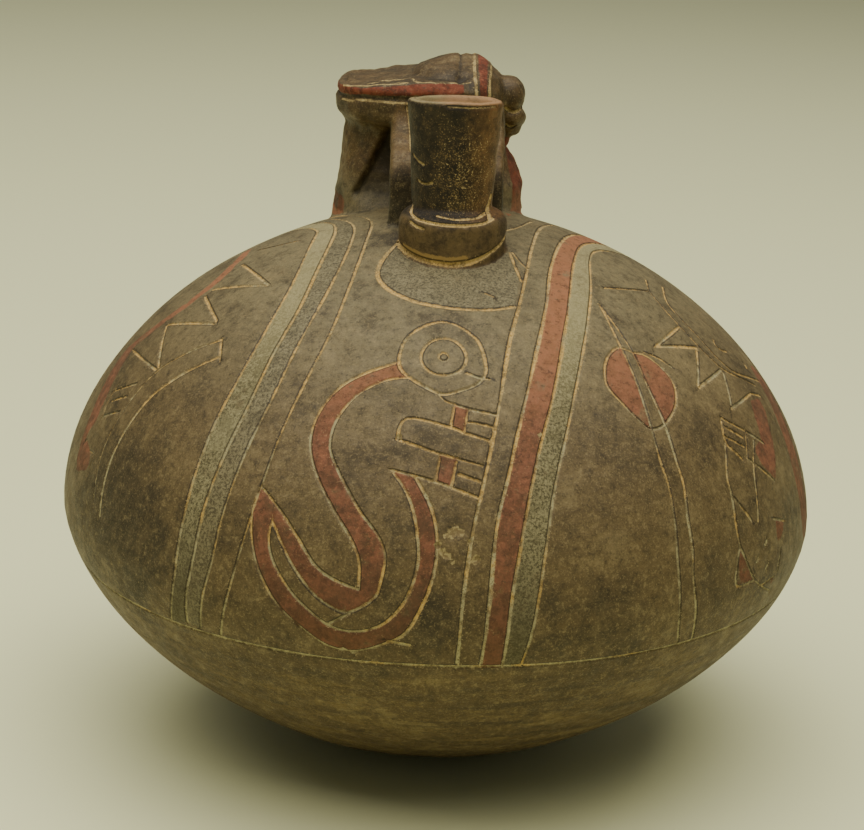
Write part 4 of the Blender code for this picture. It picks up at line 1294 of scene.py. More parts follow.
def inside(spots, ring):
    """Whether spots of the chart lie inside a closed ring, by counting crossings."""
    x, y = spots[:, 0][:, None], spots[:, 1][:, None]
    first, second = ring, np.roll(ring, -1, axis=0)
    spans = (first[:, 1] > y) != (second[:, 1] > y)
    rise = np.where(second[:, 1] == first[:, 1], 1e-9, second[:, 1] - first[:, 1])
    crossing = x < (second[:, 0] - first[:, 0]) * (y - first[:, 1]) / rise + first[:, 0]
    return (spans & crossing).sum(1) % 2 == 1


def area(points, spots, paths):
    """Distance inside the area that paths enclose together, below zero outside it."""
    ring = np.concatenate(paths)
    flat = to_chart(ring)
    near = ((spots > flat.min(0) - FAR) & (spots < flat.max(0) + FAR)).all(1)
    depth = np.full(len(points), -FAR)
    chosen = np.flatnonzero(near)
    ring = np.concatenate((ring, ring[:1]))
    edge = Strokes([ring], [np.full(len(ring), 2.0)])
    gap = edge.gap(points[chosen])[0]
    depth[chosen] = np.clip(np.where(inside(spots[chosen], flat), gap, -gap), -FAR, FAR)
    return depth


def ribbon(points, places, width):
    """Distance inside a ribbon of some width along places on the wall."""
    path = draw(places)
    return width / 2 - Strokes([path], [np.full(len(path), 2.0)]).gap(points)[0]


def marked(places, turn=0.0, closed=False):
    """The path of a line, for the border of an area."""
    return draw([(azimuth + turn, height) for azimuth, height in places], closed)


# %% [markdown]
# Paint fills the closed shapes between lines: the red and grey stripes of the bands, the serpent,
# the leaf beside its stem, and small blocks. Where the maker painted a strip with no second
# line, a ribbon of some width along a path does it. Grey comes in two kinds, pale and slate.

# %% The painted areas of the wall
RED_RIBBONS = (
    (((-96.7, 120.3), (-88.5, 119.8), (-80.3, 117.8), (-76.5, 115.1), (-75.4, 110.9), (-76.6, 106.7),
      (-78.6, 102.5), (-81.5, 97.6)), 3.2),
    (((-80, 97), (-78.4, 94.2), (-76.8, 91.6), (-75.2, 89), (-74, 86.4), (-73.4, 84.2)), 7.0),
    (((85.2, 95.8), (82.3, 91.2), (79.4, 86.8), (77.9, 82), (76.7, 77), (76.2, 71.5), (76.8, 65)), 9.0),
    (((58.6, 58.9), (59.6, 57.8)), 1.4),
    (((-72.4, 79.4), (-70.2, 80)), 0.9),
    (((-66, 78), (-66.2, 75.5)), 0.9),
    (((106, 131.4), (125, 131.1)), 1.4),
)
RIGHT_RED = ((69, 96.4), (66.7, 93.1), (65.2, 89.5), (61.6, 88.7), (60.1, 86.2), (62.3, 83.4),
             (64.3, 80.3), (68.5, 86.3), (70.8, 90.6), (75.4, 95))
LEFT_RED = ((-74.6, 79.4), (-71.7, 80.4), (-67.0, 79.4), (-65.8, 75.6), (-70.8, 72.8), (-73.3, 76))
QUAD_RED = ((60.6, 72.6), (63.5, 71), (62.4, 66.9), (60.2, 67.4))
TRIANGLE_RED = ((49.4, 70), (48.5, 62.4), (52.4, 61.9))
PATCH_TOP = ((25.4, 124.6), (30, 128), (33, 131.2), (0, 131.0), (-40, 131.2))
wall_now = to_wall(points)
chart_now = to_chart(wall_now)
tail_over, neck_inside, tail_inside = marked(TAIL_OVER), marked(NECK_INSIDE), marked(TAIL_INSIDE)
red = area(wall_now, chart_now, (right_band[1], right_band[2][::-1]))
for paths in ((marked(NECK_OUTSIDE), tail_over[::-1], neck_inside[::-1]),
              (marked(TAIL_OUTSIDE), tail_inside[::-1])):
    red = np.maximum(red, area(wall_now, chart_now, paths))
for block in FINGER_BLOCKS + (RIGHT_RED, LEFT_RED, QUAD_RED, TRIANGLE_RED):
    red = np.maximum(red, area(wall_now, chart_now, (on_wall(block),)))
for turn in LEAF_TURNS:
    leaf = area(wall_now, chart_now, (marked(LEAF, turn, closed=True),))
    stem = area(wall_now, chart_now, (marked(LEFT_STEM, turn), marked(RIGHT_STEM, turn)[::-1]))
    red = np.maximum(red, np.minimum(leaf, -stem))
for places, width in RED_RIBBONS:
    red = np.maximum(red, ribbon(wall_now, places, width))
grey = area(wall_now, chart_now, (left_band[0], left_band[1][::-1]))
grey = np.maximum(grey, area(wall_now, chart_now, (right_band[2], right_band[3][::-1])))
patch_top = on_wall(PATCH_TOP)
slate = area(wall_now, chart_now, (left_band[1], left_band[2][::-1]))
slate = np.maximum(slate, area(wall_now, chart_now, (marked(COLLAR_PATCH), patch_top)))
not_wall = np.where(on_forms | (wall_depth > 2.0), FAR, 0.0)
red, grey, slate = (depth - 2 * not_wall for depth in (red, grey, slate))
print("points in red, grey and slate on the wall:", *(int((depth > 0).sum()) for depth in (red, grey, slate)))

# %% [markdown]
# On the head the paint follows height and side instead: the red strip of the band runs between
# two heights that change along it, the wrap crosses it, and red cloth falls at both sides.

# %% The painted parts of the head
LOBE_HEIGHTS = (126.0, 133.3, 137.0, 140.2, 143.6, 147.5)
LOBE_EDGE_X = (15.6, 16.0, 15.9, 15.3, 14.2, 13.6)
LEFT_LOBE = (23.0, 130.0)
LEFT_LOBE_SIZE = (8.0, 3.0)
LEFT_LOBE_X = -26.0
STRIP_END_X = 2.8
FLATTEST, FLAT_FADE = 0.8, 5.0
WRAP_LEAN = ((160.5, 167.5), (0.35, -0.35))
WRAP_RED_LEFT, WRAP_RED_RIGHT, WRAP_RED_LOWEST = 6.3, 8.2, 156.5
HEAD_PAINT_BACK = -2.0
band_low, band_high = np.interp(x, BAND_X, RED_BOTTOM), np.interp(x, BAND_X, RED_TOP)
strip = np.minimum(np.minimum(z - band_low, band_high - z), STRIP_END_X - x)
strip = np.minimum(strip, (FLATTEST - normals[:, 2]) * FLAT_FADE)
wrap_lean = np.interp(z, *WRAP_LEAN)
wrap = np.minimum(x - WRAP_RED_LEFT - wrap_lean, WRAP_RED_RIGHT - wrap_lean / 2 - x)
wrap = np.minimum(wrap, z - WRAP_RED_LOWEST)
right_lobe = np.minimum(x - np.interp(z, LOBE_HEIGHTS, LOBE_EDGE_X), LOBE_HEIGHTS[-1] - z)
left_lobe = np.hypot((y - LEFT_LOBE[0]) / LEFT_LOBE_SIZE[0], (z - LEFT_LOBE[1]) / LEFT_LOBE_SIZE[1])
left_lobe = np.minimum((1.0 - left_lobe) * LEFT_LOBE_SIZE[1], LEFT_LOBE_X - x)
head_red = np.maximum.reduce((strip, wrap, right_lobe, left_lobe))
red = np.where(on_forms & (y > HEAD_PAINT_BACK), np.clip(head_red, -FAR, FAR), red)
print("share of the head's points in red:", round(float((red[on_head] > 0).mean()), 3))

# %% [markdown]
# The fire left dark clouds where smoke licked the clay, and some places are paler. Each is a
# soft round spot: an azimuth, a height, a size and a strength, below zero where the clay is
# paler. The same values carry painted shade on the strap's leg and at the collar's foot, and
# painted light on the strap's top. The recess beside the hair, the band's folds and the low left
# side of the head get painted shade of their own, a dark tone laid where shadow falls.

# %% Smoke clouds, paler places and painted shade
# The spot at azimuth 6 and height 124.5 is painted shade round the collar's foot; the others are smoke clouds
# and, below zero, paler places.
SMOKE = ((-54, 72, 24, 0.8), (-49, 127, 7, 0.4), (23, 54, 13, 0.45), (-14, 90, 9, 0.5), (37, 92, 8, 0.4),
         (27, 74, 12, 0.4), (3, 63, 11, 0.5), (62, 66, 15, 0.35), (-22, 53, 12, 0.4), (6, 124.5, 8, 0.4),
         (-26, 130.5, 7, 0.6), (33, 130, 7, 0.3), (-100, 60, 22, 0.5), (130, 82, 20, 0.6),
         (-152, 66, 24, 0.6), (178, 100, 14, 0.4),
         (-24, 113, 13, -0.3), (27, 116, 12, -0.3), (58, 106, 16, -0.25), (-60, 115, 16, -0.25),
         (-10, 98, 6, 0.3), (-1, 84, 6, 0.35), (8, 116, 4, 0.25), (30, 92, 7, 0.3), (52, 84, 9, 0.3),
         (33, 80, 12, -0.25), (-45, 88, 8, -0.2), (110, 100, 16, -0.3))
HEAD_SMOKE = ((150.0, 156.0, 158.0, 170.0), (0.35, 0.6, 0.5, 0.45))
KNOT_X, KNOT_SMOKE = 11.0, 0.4
STRAP_FRONT, STRAP_LOWEST = -13.0, 131.0
# Painted shade on the strap's leg below its bend, and painted light on its top above it.
STRAP_LIGHT_AND_SHADE = ((143.0, 147.5), (0.85, 0.1))
RECESS_INNER_X = -12.5
RECESS_BESIDE = (-0.6, 40.0, 4.5)
RECESS_HEIGHTS = ((132.0, 145.0), (0.3, 1.0))
RECESS_TOP, RECESS_FADE = 156.8, 1.5
FOLD_LOWER, CAP_FOLD_WIDTH, BAND_FOLD_WIDTH = 0.25, 0.3, 0.35
FOLD_SHADE, FOLD_END_X, FOLD_REACH = 0.85, 4.4, 13.0
LOW_SHADE_X, LOW_SHADE_EDGE = -25.2, 1.4
LOW_SHADE_TOP, LOW_SHADE_FADE, LOW_SHADE_MOST = 137.0, 6.0, 0.7
smoke_and_shade = np.zeros(len(points))
for azimuth, height, size, strength in SMOKE:
    away = np.linalg.norm(points - on_wall([(azimuth, height)])[0], axis=1)
    smoke_and_shade += strength * np.exp(-(away / size) ** 2)
head_smoke = np.where(x > KNOT_X, KNOT_SMOKE, np.interp(z, *HEAD_SMOKE))
smoke_and_shade = np.where(on_head, head_smoke, smoke_and_shade)
on_strap = on_forms & ~on_head & (y > STRAP_FRONT) & (z > STRAP_LOWEST)
# The strap's leg is darkened as painted shade and its top lightened as painted light.
smoke_and_shade = np.where(on_strap, np.interp(z, *STRAP_LIGHT_AND_SHADE), smoke_and_shade)
# Painted shade: the recess between the hair and the strap, the folds at the band's two grooves and the low
# left side of the head are darkened where shadow falls.
behind_hair = on_head * (x < RECESS_INNER_X) * (normals[:, 1] < FACES_BACK)
recess_shade = bump_over(drape, *RECESS_BESIDE) * np.interp(z, *RECESS_HEIGHTS)
recess_shade *= behind_hair * ramp(RECESS_TOP - z, RECESS_FADE)
painted_fold_shade = dip(z - cap_groove_z + FOLD_LOWER, CAP_FOLD_WIDTH) + dip(z - band_groove_z, BAND_FOLD_WIDTH)
painted_fold_shade *= FOLD_SHADE * on_band * (x < FOLD_END_X) * (y < FOLD_REACH)
low_left_shade = np.clip((LOW_SHADE_TOP - z) / LOW_SHADE_FADE, 0.0, LOW_SHADE_MOST)
low_left_shade = ramp(LOW_SHADE_X - x, LOW_SHADE_EDGE) * low_left_shade * on_head
painted_shade = np.maximum.reduce((recess_shade, painted_fold_shade, low_left_shade))
print("smoke from", round(float(smoke_and_shade.min()), 2), "to", round(float(smoke_and_shade.max()), 2))

# %% [markdown]
# Everything that the material needs is stored on the mesh, one number for each point. The stroke
# is the distance to the nearest line in half widths of that line, so 1 is always its border.

# %% Values stored on the mesh
WRAP_LINES_X = (5.3, 9.1)
WRAP_LINE_HALVES = (0.42, 0.4)
WRAP_LINES_LOWEST, WRAP_LINES_REACH = 157.5, 32.0
BAND_LINE_HALF, ROLL_LINE_HALF = 0.36, 0.42
BAND_LINES_END_X, BAND_LINES_REACH = 4.4, 17.0
BORE_LOWEST = 146.0
SPECKS_MIDDLE, SPECKS_SIZE = (4.0, 147.0), (7.5, 11.0)
stroke = np.where(on_forms, form_stroke, wall_stroke)
lean = np.where(on_forms, form_side, wall_side)
left_wrap_line = np.abs(x - WRAP_LINES_X[0] - wrap_lean) / WRAP_LINE_HALVES[0]
right_wrap_line = np.abs(x - WRAP_LINES_X[1] + wrap_lean * 1.3) / WRAP_LINE_HALVES[1]
wrap_line = np.minimum(left_wrap_line, right_wrap_line)
by_the_wrap = on_head & (z > WRAP_LINES_LOWEST) & (y < WRAP_LINES_REACH)
stroke = np.where(by_the_wrap, np.minimum(stroke, wrap_line), stroke)
steep = np.sqrt(np.clip(1.0 - normals[:, 2] ** 2, 0.04, 1.0))
roll_line = np.abs(z - np.interp(x, BAND_X, ROLL_TOP)) / ROLL_LINE_HALF
band_line = np.minimum(np.abs(z - band_high) / BAND_LINE_HALF, roll_line) / steep
by_the_band = on_band & (x < BAND_LINES_END_X) & (y < BAND_LINES_REACH)
stroke = np.where(by_the_band, np.minimum(stroke, band_line), stroke)
stroke = np.where(outside, stroke, FAR)
on_spout = on_forms & (spout_way < COLLAR_RADIUS + 1.0) & (y < SPOUT_BACK)
bore_side = ~outside & (z > BORE_LOWEST) & (spout_way < SPOUT_RIM_RADIUS)
lip_part = np.where(on_spout, ramp(z - SPOUT_TOP + 0.45, 0.3), 0.0)
specks = np.exp(-((z - SPECKS_MIDDLE[1]) / SPECKS_SIZE[1]) ** 2
                - ((x - SPECKS_MIDDLE[0]) / SPECKS_SIZE[0]) ** 2)
wash = 1.0 - Strokes([wash_path], [np.full(len(wash_path), 2.0)]).gap(points)[0]
near = soften(points, edges, np.ones(len(points)), 2)
# Painted shade in hollows: how far a point lies below the middle of its neighbours, away from the lines.
hollow_shade = np.where(stroke < 2.0, 0.0, ((near - points) * normals).sum(1))
STORED = (
    ("stroke", np.clip(stroke, 0, FAR)),
    ("lean", np.clip(lean, -FAR, FAR)),
    ("red", red),
    ("grey", grey),
    ("slate", slate),
    ("spout", np.where(on_spout, ramp(z - 136.6, 0.8), 0.0)),
    ("collar", np.where(on_spout, ramp(137.4 - z, 0.8), 0.0)),
    ("lip", np.where(bore_side, 1.0, lip_part)),
    ("specks", specks),
    # Painted shade in hollows.
    ("hollow", hollow_shade),
    # Smoke clouds, with painted shade on the strap's leg and the collar's foot and painted light on the
    # strap's top.
    ("smoke_and_shade", smoke_and_shade),
    # Painted shade of the head's recess, folds and low left side.
    ("painted_shade", painted_shade),
    ("wash", np.clip(wash, -1, 1)),
    ("chip", np.clip(chip_gap(points), -FAR, FAR)),
)
for name, values in STORED:
    held = bottle_mesh.attributes.new(name, "FLOAT", "POINT")
    held.data.foreach_set("value", np.asarray(values, np.float32))
print(len(STORED), "values kept for each of", len(points), "points")

# %% [markdown]
# ## Nodes in plain words
#
# The material is one long recipe of layers: smoked clay, mottling, paint, dust in the grooves. A
# few helpers keep that recipe readable. Each makes one node and hands back its output, and one,
# layered, lays a whole list of tones over each other.

# %% Node helpers
clay = bpy.data.materials.new("smoked clay")
clay.use_nodes = True
clay_nodes, clay_links = clay.node_tree.nodes, clay.node_tree.links
place = clay_nodes.new("ShaderNodeTexCoord").outputs["Object"]


def tone(red_part, green_part, blue_part):
    """A colour as a screen shows it, turned into light."""
    parts = []
    for part in (red_part, green_part, blue_part):
        share = part / 255.0
        parts.append(share / 12.92 if share <= 0.04045 else ((share + 0.055) / 1.055) ** 2.4)
    return (*parts, 1.0)


def plug(node, socket, value):
    """Link an output to a socket, or set the socket's own value."""
    if isinstance(value, bpy.types.NodeSocket):
        clay_links.new(value, node.inputs[socket])
    else:
        node.inputs[socket].default_value = value


def stored(name):
    """A value kept on the mesh."""
    node = clay_nodes.new("ShaderNodeAttribute")
    node.attribute_name = name
    return node.outputs["Fac"]


def stretched(across, upward):
    """The place on the bottle, stretched for streaks."""
    node = clay_nodes.new("ShaderNodeMapping")
    plug(node, "Vector", place)
    plug(node, "Scale", (across, across, upward))
    return node.outputs["Vector"]


def grain(size, detail, rough_share, where=None):
    """Cloudy noise whose lumps are about so many millimetres wide."""
    node = clay_nodes.new("ShaderNodeTexNoise")
    for socket, value in (("Vector", where or place), ("Scale", 1.0 / (size * MM)), ("Detail", detail),
                          ("Roughness", rough_share)):
        plug(node, socket, value)
    return node.outputs["Fac"]


def ease(value, low, high, from_value=0.0, to_value=1.0):
    """A soft step of a value, from one limit to the other."""
    node = clay_nodes.new("ShaderNodeMapRange")
    node.interpolation_type = "SMOOTHSTEP"
    for socket, limit in (("Value", value), ("From Min", low), ("From Max", high), ("To Min", from_value),
                          ("To Max", to_value)):
        plug(node, socket, limit)
    return node.outputs["Result"]


def reckon(kind, first, second=0.0):
    """Two values put together by arithmetic."""
    node = clay_nodes.new("ShaderNodeMath")
    node.operation = kind
    plug(node, 0, first)
    plug(node, 1, second)
    return node.outputs["Value"]


def plus(first, second):
    """Two values added."""
    return reckon("ADD", first, second)


def minus(first, second):
    """One value less another."""
    return reckon("SUBTRACT", first, second)


def times(first, second):
    """Two values multiplied."""
    return reckon("MULTIPLY", first, second)


def swing(noise_value, amount):
    """A noise as a swing around zero."""
    return times(minus(noise_value, 0.5), amount)


def over(share, below, above):
    """One colour laid over another by a share."""
    node = clay_nodes.new("ShaderNodeMix")
    node.data_type = "RGBA"
    for socket, value in ((0, share), (6, below), (7, above)):
        plug(node, socket, value)
    return node.outputs[2]


def layered(colour, *layers):
    """A colour with tones laid over it. Each layer has the value that it follows, the two limits
    between which it comes in, how much of it there is at most, and its tone."""
    for value, low, high, most, parts in layers:
        colour = over(ease(value, low, high, 0.0, most), colour, tone(*parts))
    return colour


print("a middle grey of 120 on the screen is", round(tone(120, 120, 120)[0], 3), "in light")

# %% [markdown]
# ## Smoked clay
#
# Firing in smoke leaves no two places alike: broad clouds from tan to nearly black, mottling
# inside them, marks of the cloth that wiped the bowl, and pale grit. One noise would look like
# marble. So seven noises, from clouds of 14 mm to grains of 0.4 mm, each lay a darker and a paler
# tone over the last. The clay is also paler towards the crown, and darkest under the bowl, where
# that darkening is painted shade. The stored smoke values also hold painted shade and light.

# %% Smoked clay
where_parts = clay_nodes.new("ShaderNodeSeparateXYZ")
plug(where_parts, "Vector", place)
up_there = where_parts.outputs["Z"]
to_right = where_parts.outputs["X"]
mottle = grain(14.0, 8.0, 0.72)
blotch = grain(4.0, 7.0, 0.78)
grit = grain(1.6, 7.0, 0.8)
fine = grain(0.42, 3.0, 0.6)
streak = grain(10.0, 6.0, 0.6, stretched(0.3, 2.6))
wiped = grain(5.0, 6.0, 0.65, stretched(0.22, 2.2))
upright = grain(6.0, 5.0, 0.6, stretched(1.6, 0.25))
colour = layered(
    tone(86, 70, 43),
    (up_there, 48 * MM, 88 * MM, 1.0, (101, 85, 55)),
    (up_there, 92 * MM, 124 * MM, 1.0, (115, 105, 75)),
    (up_there, 134 * MM, 141 * MM, 0.9, (93, 69, 35)),
    # Painted shade: the bowl darkens towards the floor it stands on.
    (up_there, 30 * MM, 4 * MM, 0.55, (44, 34, 19)),
    (mottle, 0.5, 0.66, 0.7, (66, 56, 36)),
    (mottle, 0.48, 0.32, 0.5, (126, 110, 75)),
    (blotch, 0.52, 0.66, 0.55, (58, 48, 31)),
    (blotch, 0.47, 0.34, 0.45, (136, 119, 82)),
    (streak, 0.5, 0.68, 0.35, (64, 52, 32)),
)
on_bowl = ease(up_there, 56 * MM, 42 * MM)
for low, high, most, wiped_tone in ((0.52, 0.64, 0.6, (48, 39, 24)), (0.47, 0.36, 0.4, (122, 102, 62))):
    colour = over(times(on_bowl, ease(wiped, low, high, 0.0, most)), colour, tone(*wiped_tone))
# Smoke clouds from the stored values, which also hold painted shade and painted light, swung by noise.
smoke_and_shade_clouds = plus(plus(stored("smoke_and_shade"), swing(mottle, 1.3)), swing(blotch, 0.8))
colour = layered(
    colour,
    (upright, 0.52, 0.7, 0.3, (70, 60, 40)),
    (smoke_and_shade_clouds, 0.1, 0.95, 0.85, (42, 36, 24)),
    (smoke_and_shade_clouds, -0.05, -0.6, 0.45, (136, 120, 82)),
    (grit, 0.52, 0.64, 0.6, (48, 40, 25)),
    (grit, 0.47, 0.36, 0.42, (148, 130, 90)),
    (fine, 0.56, 0.68, 0.35, (156, 138, 96)),
    (fine, 0.44, 0.32, 0.4, (42, 35, 21)),
)
print(len(clay_nodes), "nodes for the bare clay")

# %% [markdown]
# ## Spout, collar and rim
#
# The spout was smoked darkest, and browner on its right. Fine pale specks sit where its polish has
# worn through, most of them low on the front. The collar's tone lies between spout and body, and
# the rim is worn to pale clay all round. Inside the bore that clay is paler still, as painted
# light. Values stored on the mesh say where each of them begins.

# %% Spout, collar and rim
brown_side = ease(times(to_right, up_there), 0.3e-3, 1.5e-3, 0.0, 0.9)
spout_brown = layered(tone(112, 79, 41), (blotch, 0.42, 0.6, 1.0, (80, 57, 29)))
spout_clay = layered(tone(50, 40, 23), (blotch, 0.42, 0.62, 1.0, (27, 22, 13)))
sprinkled = minus(times(stored("specks"), 0.13), swing(blotch, 0.3))
spout_clay = layered(
    over(brown_side, spout_clay, spout_brown),
    (grit, 0.53, 0.64, 0.7, (24, 19, 11)),
    (grit, 0.47, 0.38, 0.45, (96, 76, 44)),
    (plus(grain(0.36, 2.0, 0.5), sprinkled), 0.655, 0.72, 0.6, (128, 104, 62)),
    (plus(grain(0.42, 2.0, 0.5), sprinkled), 0.73, 0.78, 0.8, (182, 160, 110)),
)
collar_clay = layered(
    tone(96, 78, 48),
    (blotch, 0.42, 0.62, 1.0, (64, 51, 31)),
    (grit, 0.53, 0.64, 0.6, (42, 34, 20)),
    (grit, 0.46, 0.36, 0.4, (124, 104, 68)),
)
rim_clay = layered(
    tone(142, 128, 90),
    (to_right, -5 * MM, 1 * MM, 1.0, (158, 122, 84)),
    (blotch, 0.5, 0.62, 0.6, (122, 102, 68)),
    (grit, 0.53, 0.62, 0.6, (92, 74, 46)),
    # Painted light: inside the bore the clay is made paler, though it lies in shade.
    (up_there, 162.6 * MM, 161.6 * MM, 1.0, (200, 160, 112)),
)
colour = over(stored("spout"), colour, spout_clay)
colour = over(stored("collar"), colour, collar_clay)
colour = layered(colour, (plus(stored("wash"), swing(grit, 1.6)), 0.15, 0.45, 0.85, (152, 124, 68)))
colour = over(stored("lip"), colour, rim_clay)
print(len(clay_nodes), "nodes with the spout")

# %% [markdown]
# ## Resin paint
#
# The paint was mixed with plant resin and put on after firing, so it lies on the clay, uneven and
# worn through in places. Its edge wanders a little inside the lines. Red is dull and sooty low
# down and brightest on the head. Grey is crackled, and paler high up.

# %% Resin paint
wander = minus(grain(1.6, 4.0, 0.65), 0.5)
worn = ease(grain(6.0, 7.0, 0.75), 0.54, 0.68, 1.0, 0.3)
sooty = ease(smoke_and_shade_clouds, 0.1, 0.8, 0.0, 0.6)
crackle = grain(0.6, 5.0, 0.8)
LOW_DOWN = (84 * MM, 58 * MM)


def painted(name):
    """How much paint lies on a point."""
    return times(ease(plus(stored(name), wander), -0.2, 0.15), worn)


red_paint = layered(
    tone(126, 81, 58),
    (blotch, 0.42, 0.6, 1.0, (97, 65, 46)),
    (mottle, 0.48, 0.62, 0.7, (90, 66, 46)),
    (up_there, 92 * MM, 120 * MM, 0.6, (164, 112, 76)),
)
head_paint = layered(tone(118, 58, 36), (blotch, 0.44, 0.58, 1.0, (84, 42, 26)))
red_paint = layered(
    over(ease(up_there, 132 * MM, 137 * MM), red_paint, head_paint),
    (grit, 0.52, 0.62, 0.7, (72, 48, 34)),
    (grit, 0.47, 0.38, 0.4, (162, 104, 74)),
    (fine, 0.58, 0.7, 0.35, (158, 124, 88)),
    (up_there, *LOW_DOWN, 0.5, (74, 52, 35)),
)
under_head = ease(up_there, 150 * MM, 140 * MM)
red_paint = over(times(sooty, under_head), red_paint, tone(78, 60, 43))
grey_paint = layered(
    tone(140, 131, 95),
    (crackle, 0.46, 0.56, 1.0, (80, 73, 49)),
    (blotch, 0.47, 0.62, 0.65, (84, 77, 52)),
    (mottle, 0.48, 0.36, 0.4, (144, 136, 100)),
    (fine, 0.58, 0.7, 0.5, (164, 155, 116)),
    (fine, 0.42, 0.3, 0.5, (58, 53, 36)),
    (up_there, 98 * MM, 122 * MM, 0.5, (172, 161, 116)),
    (up_there, *LOW_DOWN, 0.65, (66, 60, 42)),
)
slate_paint = layered(
    tone(131, 122, 90),
    (crackle, 0.45, 0.57, 1.0, (70, 63, 44)),
    (blotch, 0.47, 0.62, 0.5, (76, 69, 50)),
    (fine, 0.58, 0.7, 0.4, (154, 145, 110)),
    (up_there, *LOW_DOWN, 0.4, (66, 58, 40)),
)
red_share, grey_share, slate_share = painted("red"), painted("grey"), painted("slate")
colour = over(times(slate_share, 0.85), colour, slate_paint)
colour = over(grey_share, colour, grey_paint)
colour = over(red_share, colour, red_paint)
print(len(clay_nodes), "nodes with the paint")

# %% [markdown]
# ## Pale dust in the grooves
#
# Pale earth has stayed in the grooves since the bottle lay in the ground, golden high up and greyer
# low down. It follows the stored distance to the stroke, broken by noise, so some of it spills
# and some is missing. Each groove also has a thin painted shadow along one of its sides, and
# painted shade darkens hollows and the head's folds and recesses. Chips show bare clay.

# %% Pale dust and worn chips
golden = plus(up_there, swing(mottle, 0.35))
dust = layered(
    tone(160, 152, 114),
    (golden, 66 * MM, 112 * MM, 1.0, (198, 162, 92)),
    (up_there, 126 * MM, 130 * MM, 0.7, (194, 170, 116)),
    (up_there, 141 * MM, 145 * MM, 0.75, (150, 132, 88)),
    (grit, 0.5, 0.62, 0.5, (142, 118, 72)),
    (fine, 0.54, 0.66, 0.45, (224, 202, 144)),
    (fine, 0.46, 0.36, 0.7, (98, 78, 46)),
)
lasting = ease(plus(grain(6.0, 5.0, 0.65), swing(grit, 1.0)), 0.62, 0.46, 0.5, 1.0)
side = plus(plus(stored("stroke"), times(wander, 0.6)), swing(fine, 0.8))
groove = ease(side, 0.98, 0.62)
spill = times(ease(side, 2.2, 1.2), ease(fine, 0.6, 0.68, 0.0, 0.5))
edge_way = reckon("ABSOLUTE", plus(stored("lean"), 1.05))
# Painted shadow: a thin dark line along one side of each groove.
groove_shadow = times(ease(edge_way, 0.5, 0.2), ease(stored("stroke"), 1.9, 1.6))
chipped = ease(plus(stored("chip"), times(wander, 1.3)), 0.15, -0.05)
chip_clay = layered(tone(156, 140, 96), (grit, 0.44, 0.56, 1.0, (112, 94, 60)))
# Painted shadow along one side of each groove.
colour = over(times(groove_shadow, 0.75), colour, tone(38, 30, 18))
# Painted shade: hollows of the surface are darkened.
colour = layered(colour, (stored("hollow"), 0.03, 0.2, 0.6, (34, 28, 17)))
# Painted shade laid over the head's recess, folds and low left side.
colour = over(times(stored("painted_shade"), 0.85), colour, tone(30, 24, 10))
colour = over(spill, colour, dust)
colour = over(times(groove, lasting), colour, dust)
colour = over(chipped, colour, chip_clay)
print(len(clay_nodes), "nodes with the dust")

# %% [markdown]
# ## Shine and grain
#
# Burnished clay has a soft shine, and paint and dust are dull on it. A low bump gives the grit and
# the wiping marks a little relief, and sinks the crackle of the grey paint. It stays faint, since
# every form that can be seen is in the mesh already.

# %% Shine and grain
shader = clay_nodes["Principled BSDF"]
plug(shader, "Base Color", colour)
plug(shader, "Specular IOR Level", 0.3)
dullness = ease(blotch, 0.38, 0.62, 0.5, 0.64)
matt = reckon("MAXIMUM", reckon("MAXIMUM", red_share, grey_share), groove)
plug(shader, "Roughness", plus(dullness, times(matt, 0.22)))
relief = plus(plus(times(grit, 1.4), times(fine, 0.35)), times(streak, 1.2))
relief = minus(relief, times(times(grey_share, crackle), 1.6))
bump = clay_nodes.new("ShaderNodeBump")
for socket, value in (("Strength", 0.8), ("Distance", 0.16 * MM), ("Height", relief)):
    plug(bump, socket, value)
plug(shader, "Normal", bump.outputs["Normal"])
bottle_mesh.materials.clear()
bottle_mesh.materials.append(clay)
print(len(clay_nodes), "nodes in the clay")

# %% [markdown]
# ## Floor
#
# The bottle stands on plain pale paper. One big square is enough, wide enough for no edge to show
# in the picture. It is stage, not part of the bottle.

# %% Floor
FLOOR_REACH = 6.0
bm = bmesh.new()
bmesh.ops.create_grid(bm, x_segments=1, y_segments=1, size=FLOOR_REACH)
floor = make("floor", bm)
paper = bpy.data.materials.new("backdrop paper")
paper.use_nodes = True
paper.node_tree.nodes["Principled BSDF"].inputs["Base Color"].default_value = (0.88, 0.90, 0.53, 1)
floor.data.materials.append(paper)
print("floor:", [round(side, 1) for side in floor.dimensions], "m")

# %% [markdown]
# ## Camera
#
# The camera looks down by 19 degrees from 60 cm away, as in the photo. There the middle of the
# bottle doesn't lie in the middle of the picture, and the picture is tilted by two degrees. So the
# camera aims at that middle first, and is then turned until it lies on its own pixel.

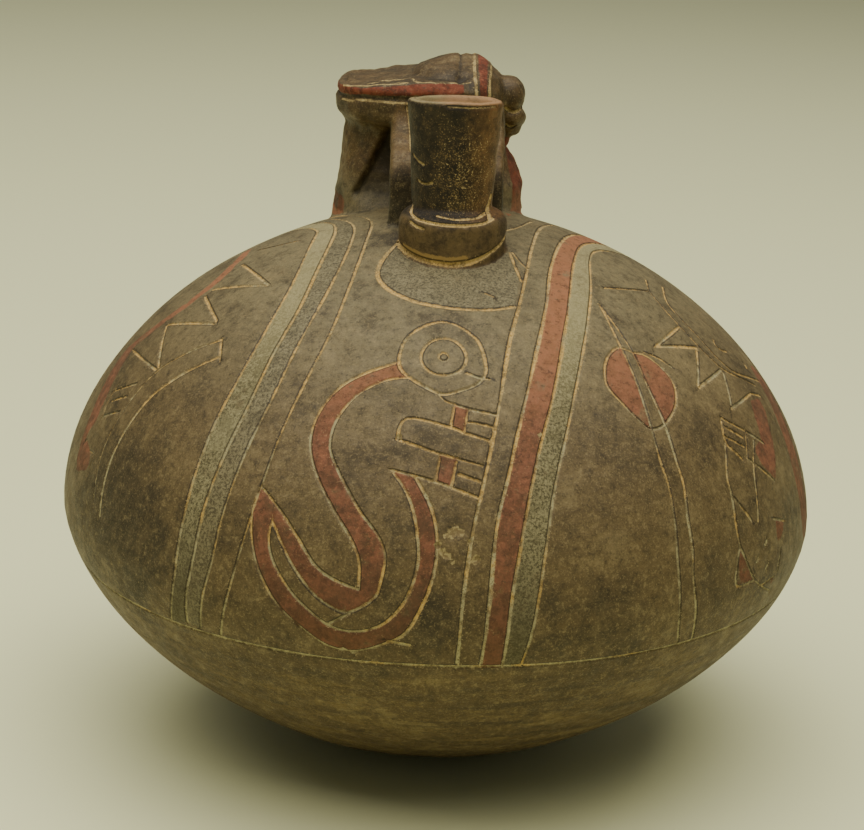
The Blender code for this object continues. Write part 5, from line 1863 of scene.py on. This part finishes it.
# %% Camera
IMAGE_WIDTH, IMAGE_HEIGHT = 864.0, 830.0
SENSOR = 36.0
FOCAL_PIXELS = 2379.75
CAMERA_LIFT = math.radians(19.03)
CAMERA_AWAY = 600.0
CAMERA_ROLL = math.radians(2.32)
AIM = np.array((0.0, 0.0, 49.5))
AIM_PIXEL = (433.95, 538.13)
stand = AIM + CAMERA_AWAY * np.array((0.0, -math.cos(CAMERA_LIFT), math.sin(CAMERA_LIFT)))
ahead = (AIM - stand) / CAMERA_AWAY
right = np.array((1.0, 0.0, 0.0))
up = np.cross(right, ahead)
off_x, off_y = AIM_PIXEL[0] - IMAGE_WIDTH / 2, AIM_PIXEL[1] - IMAGE_HEIGHT / 2
level_x = off_x * math.cos(CAMERA_ROLL) + off_y * math.sin(CAMERA_ROLL)
level_y = off_x * math.sin(CAMERA_ROLL) - off_y * math.cos(CAMERA_ROLL)
pitch = math.atan2(level_y, FOCAL_PIXELS)
yaw = math.atan2(level_x, math.hypot(FOCAL_PIXELS, level_y))
pitched = ahead * math.cos(pitch) - up * math.sin(pitch)
up = np.cross(right, pitched)
ahead = pitched * math.cos(yaw) - right * math.sin(yaw)
right = right * math.cos(yaw) + pitched * math.sin(yaw)
rolled_right = right * math.cos(CAMERA_ROLL) + up * math.sin(CAMERA_ROLL)
rolled_up = up * math.cos(CAMERA_ROLL) - right * math.sin(CAMERA_ROLL)
camera = bpy.data.objects.new("camera", bpy.data.cameras.new("camera"))
camera.data.sensor_width = SENSOR
camera.data.lens = SENSOR * FOCAL_PIXELS / IMAGE_WIDTH
turned = Matrix((rolled_right, rolled_up, -ahead)).transposed().to_4x4()
camera.matrix_world = Matrix.Translation(stand * MM) @ turned
bpy.context.scene.collection.objects.link(camera)
bpy.context.scene.camera = camera
print("camera lens:", round(camera.data.lens, 1), "mm")

# %% [markdown]
# ## Light
#
# The photo has one broad soft light from above and a little in front, which leaves a dark soft
# shadow under the round body, and a dim room around it. A square lamp of nearly two metres and a
# weak pale world give that.

# %% Light
WORLD_STRENGTH = 0.15
world = bpy.data.worlds.new("studio")
world.use_nodes = True
world.node_tree.nodes["Background"].inputs["Color"].default_value = (0.95, 0.95, 0.84, 1)
world.node_tree.nodes["Background"].inputs["Strength"].default_value = WORLD_STRENGTH
bpy.context.scene.world = world


def soft_light(name, place, size, power, aim=(0.0, 0.0, 0.05)):
    """A large square lamp aimed at the bottle."""
    lamp = bpy.data.lights.new(name, "AREA")
    lamp.size = size
    lamp.energy = power
    lamp.color = (1.0, 0.96, 0.86)
    thing = bpy.data.objects.new(name, lamp)
    thing.location = place
    thing.rotation_euler = (Vector(aim) - Vector(place)).to_track_quat("-Z", "Y").to_euler()
    bpy.context.scene.collection.objects.link(thing)
    print(name, "lamp,", size, "m wide,", power, "W")


soft_light("overhead", (-0.06, -0.16, 1.35), 1.9, 37.0)
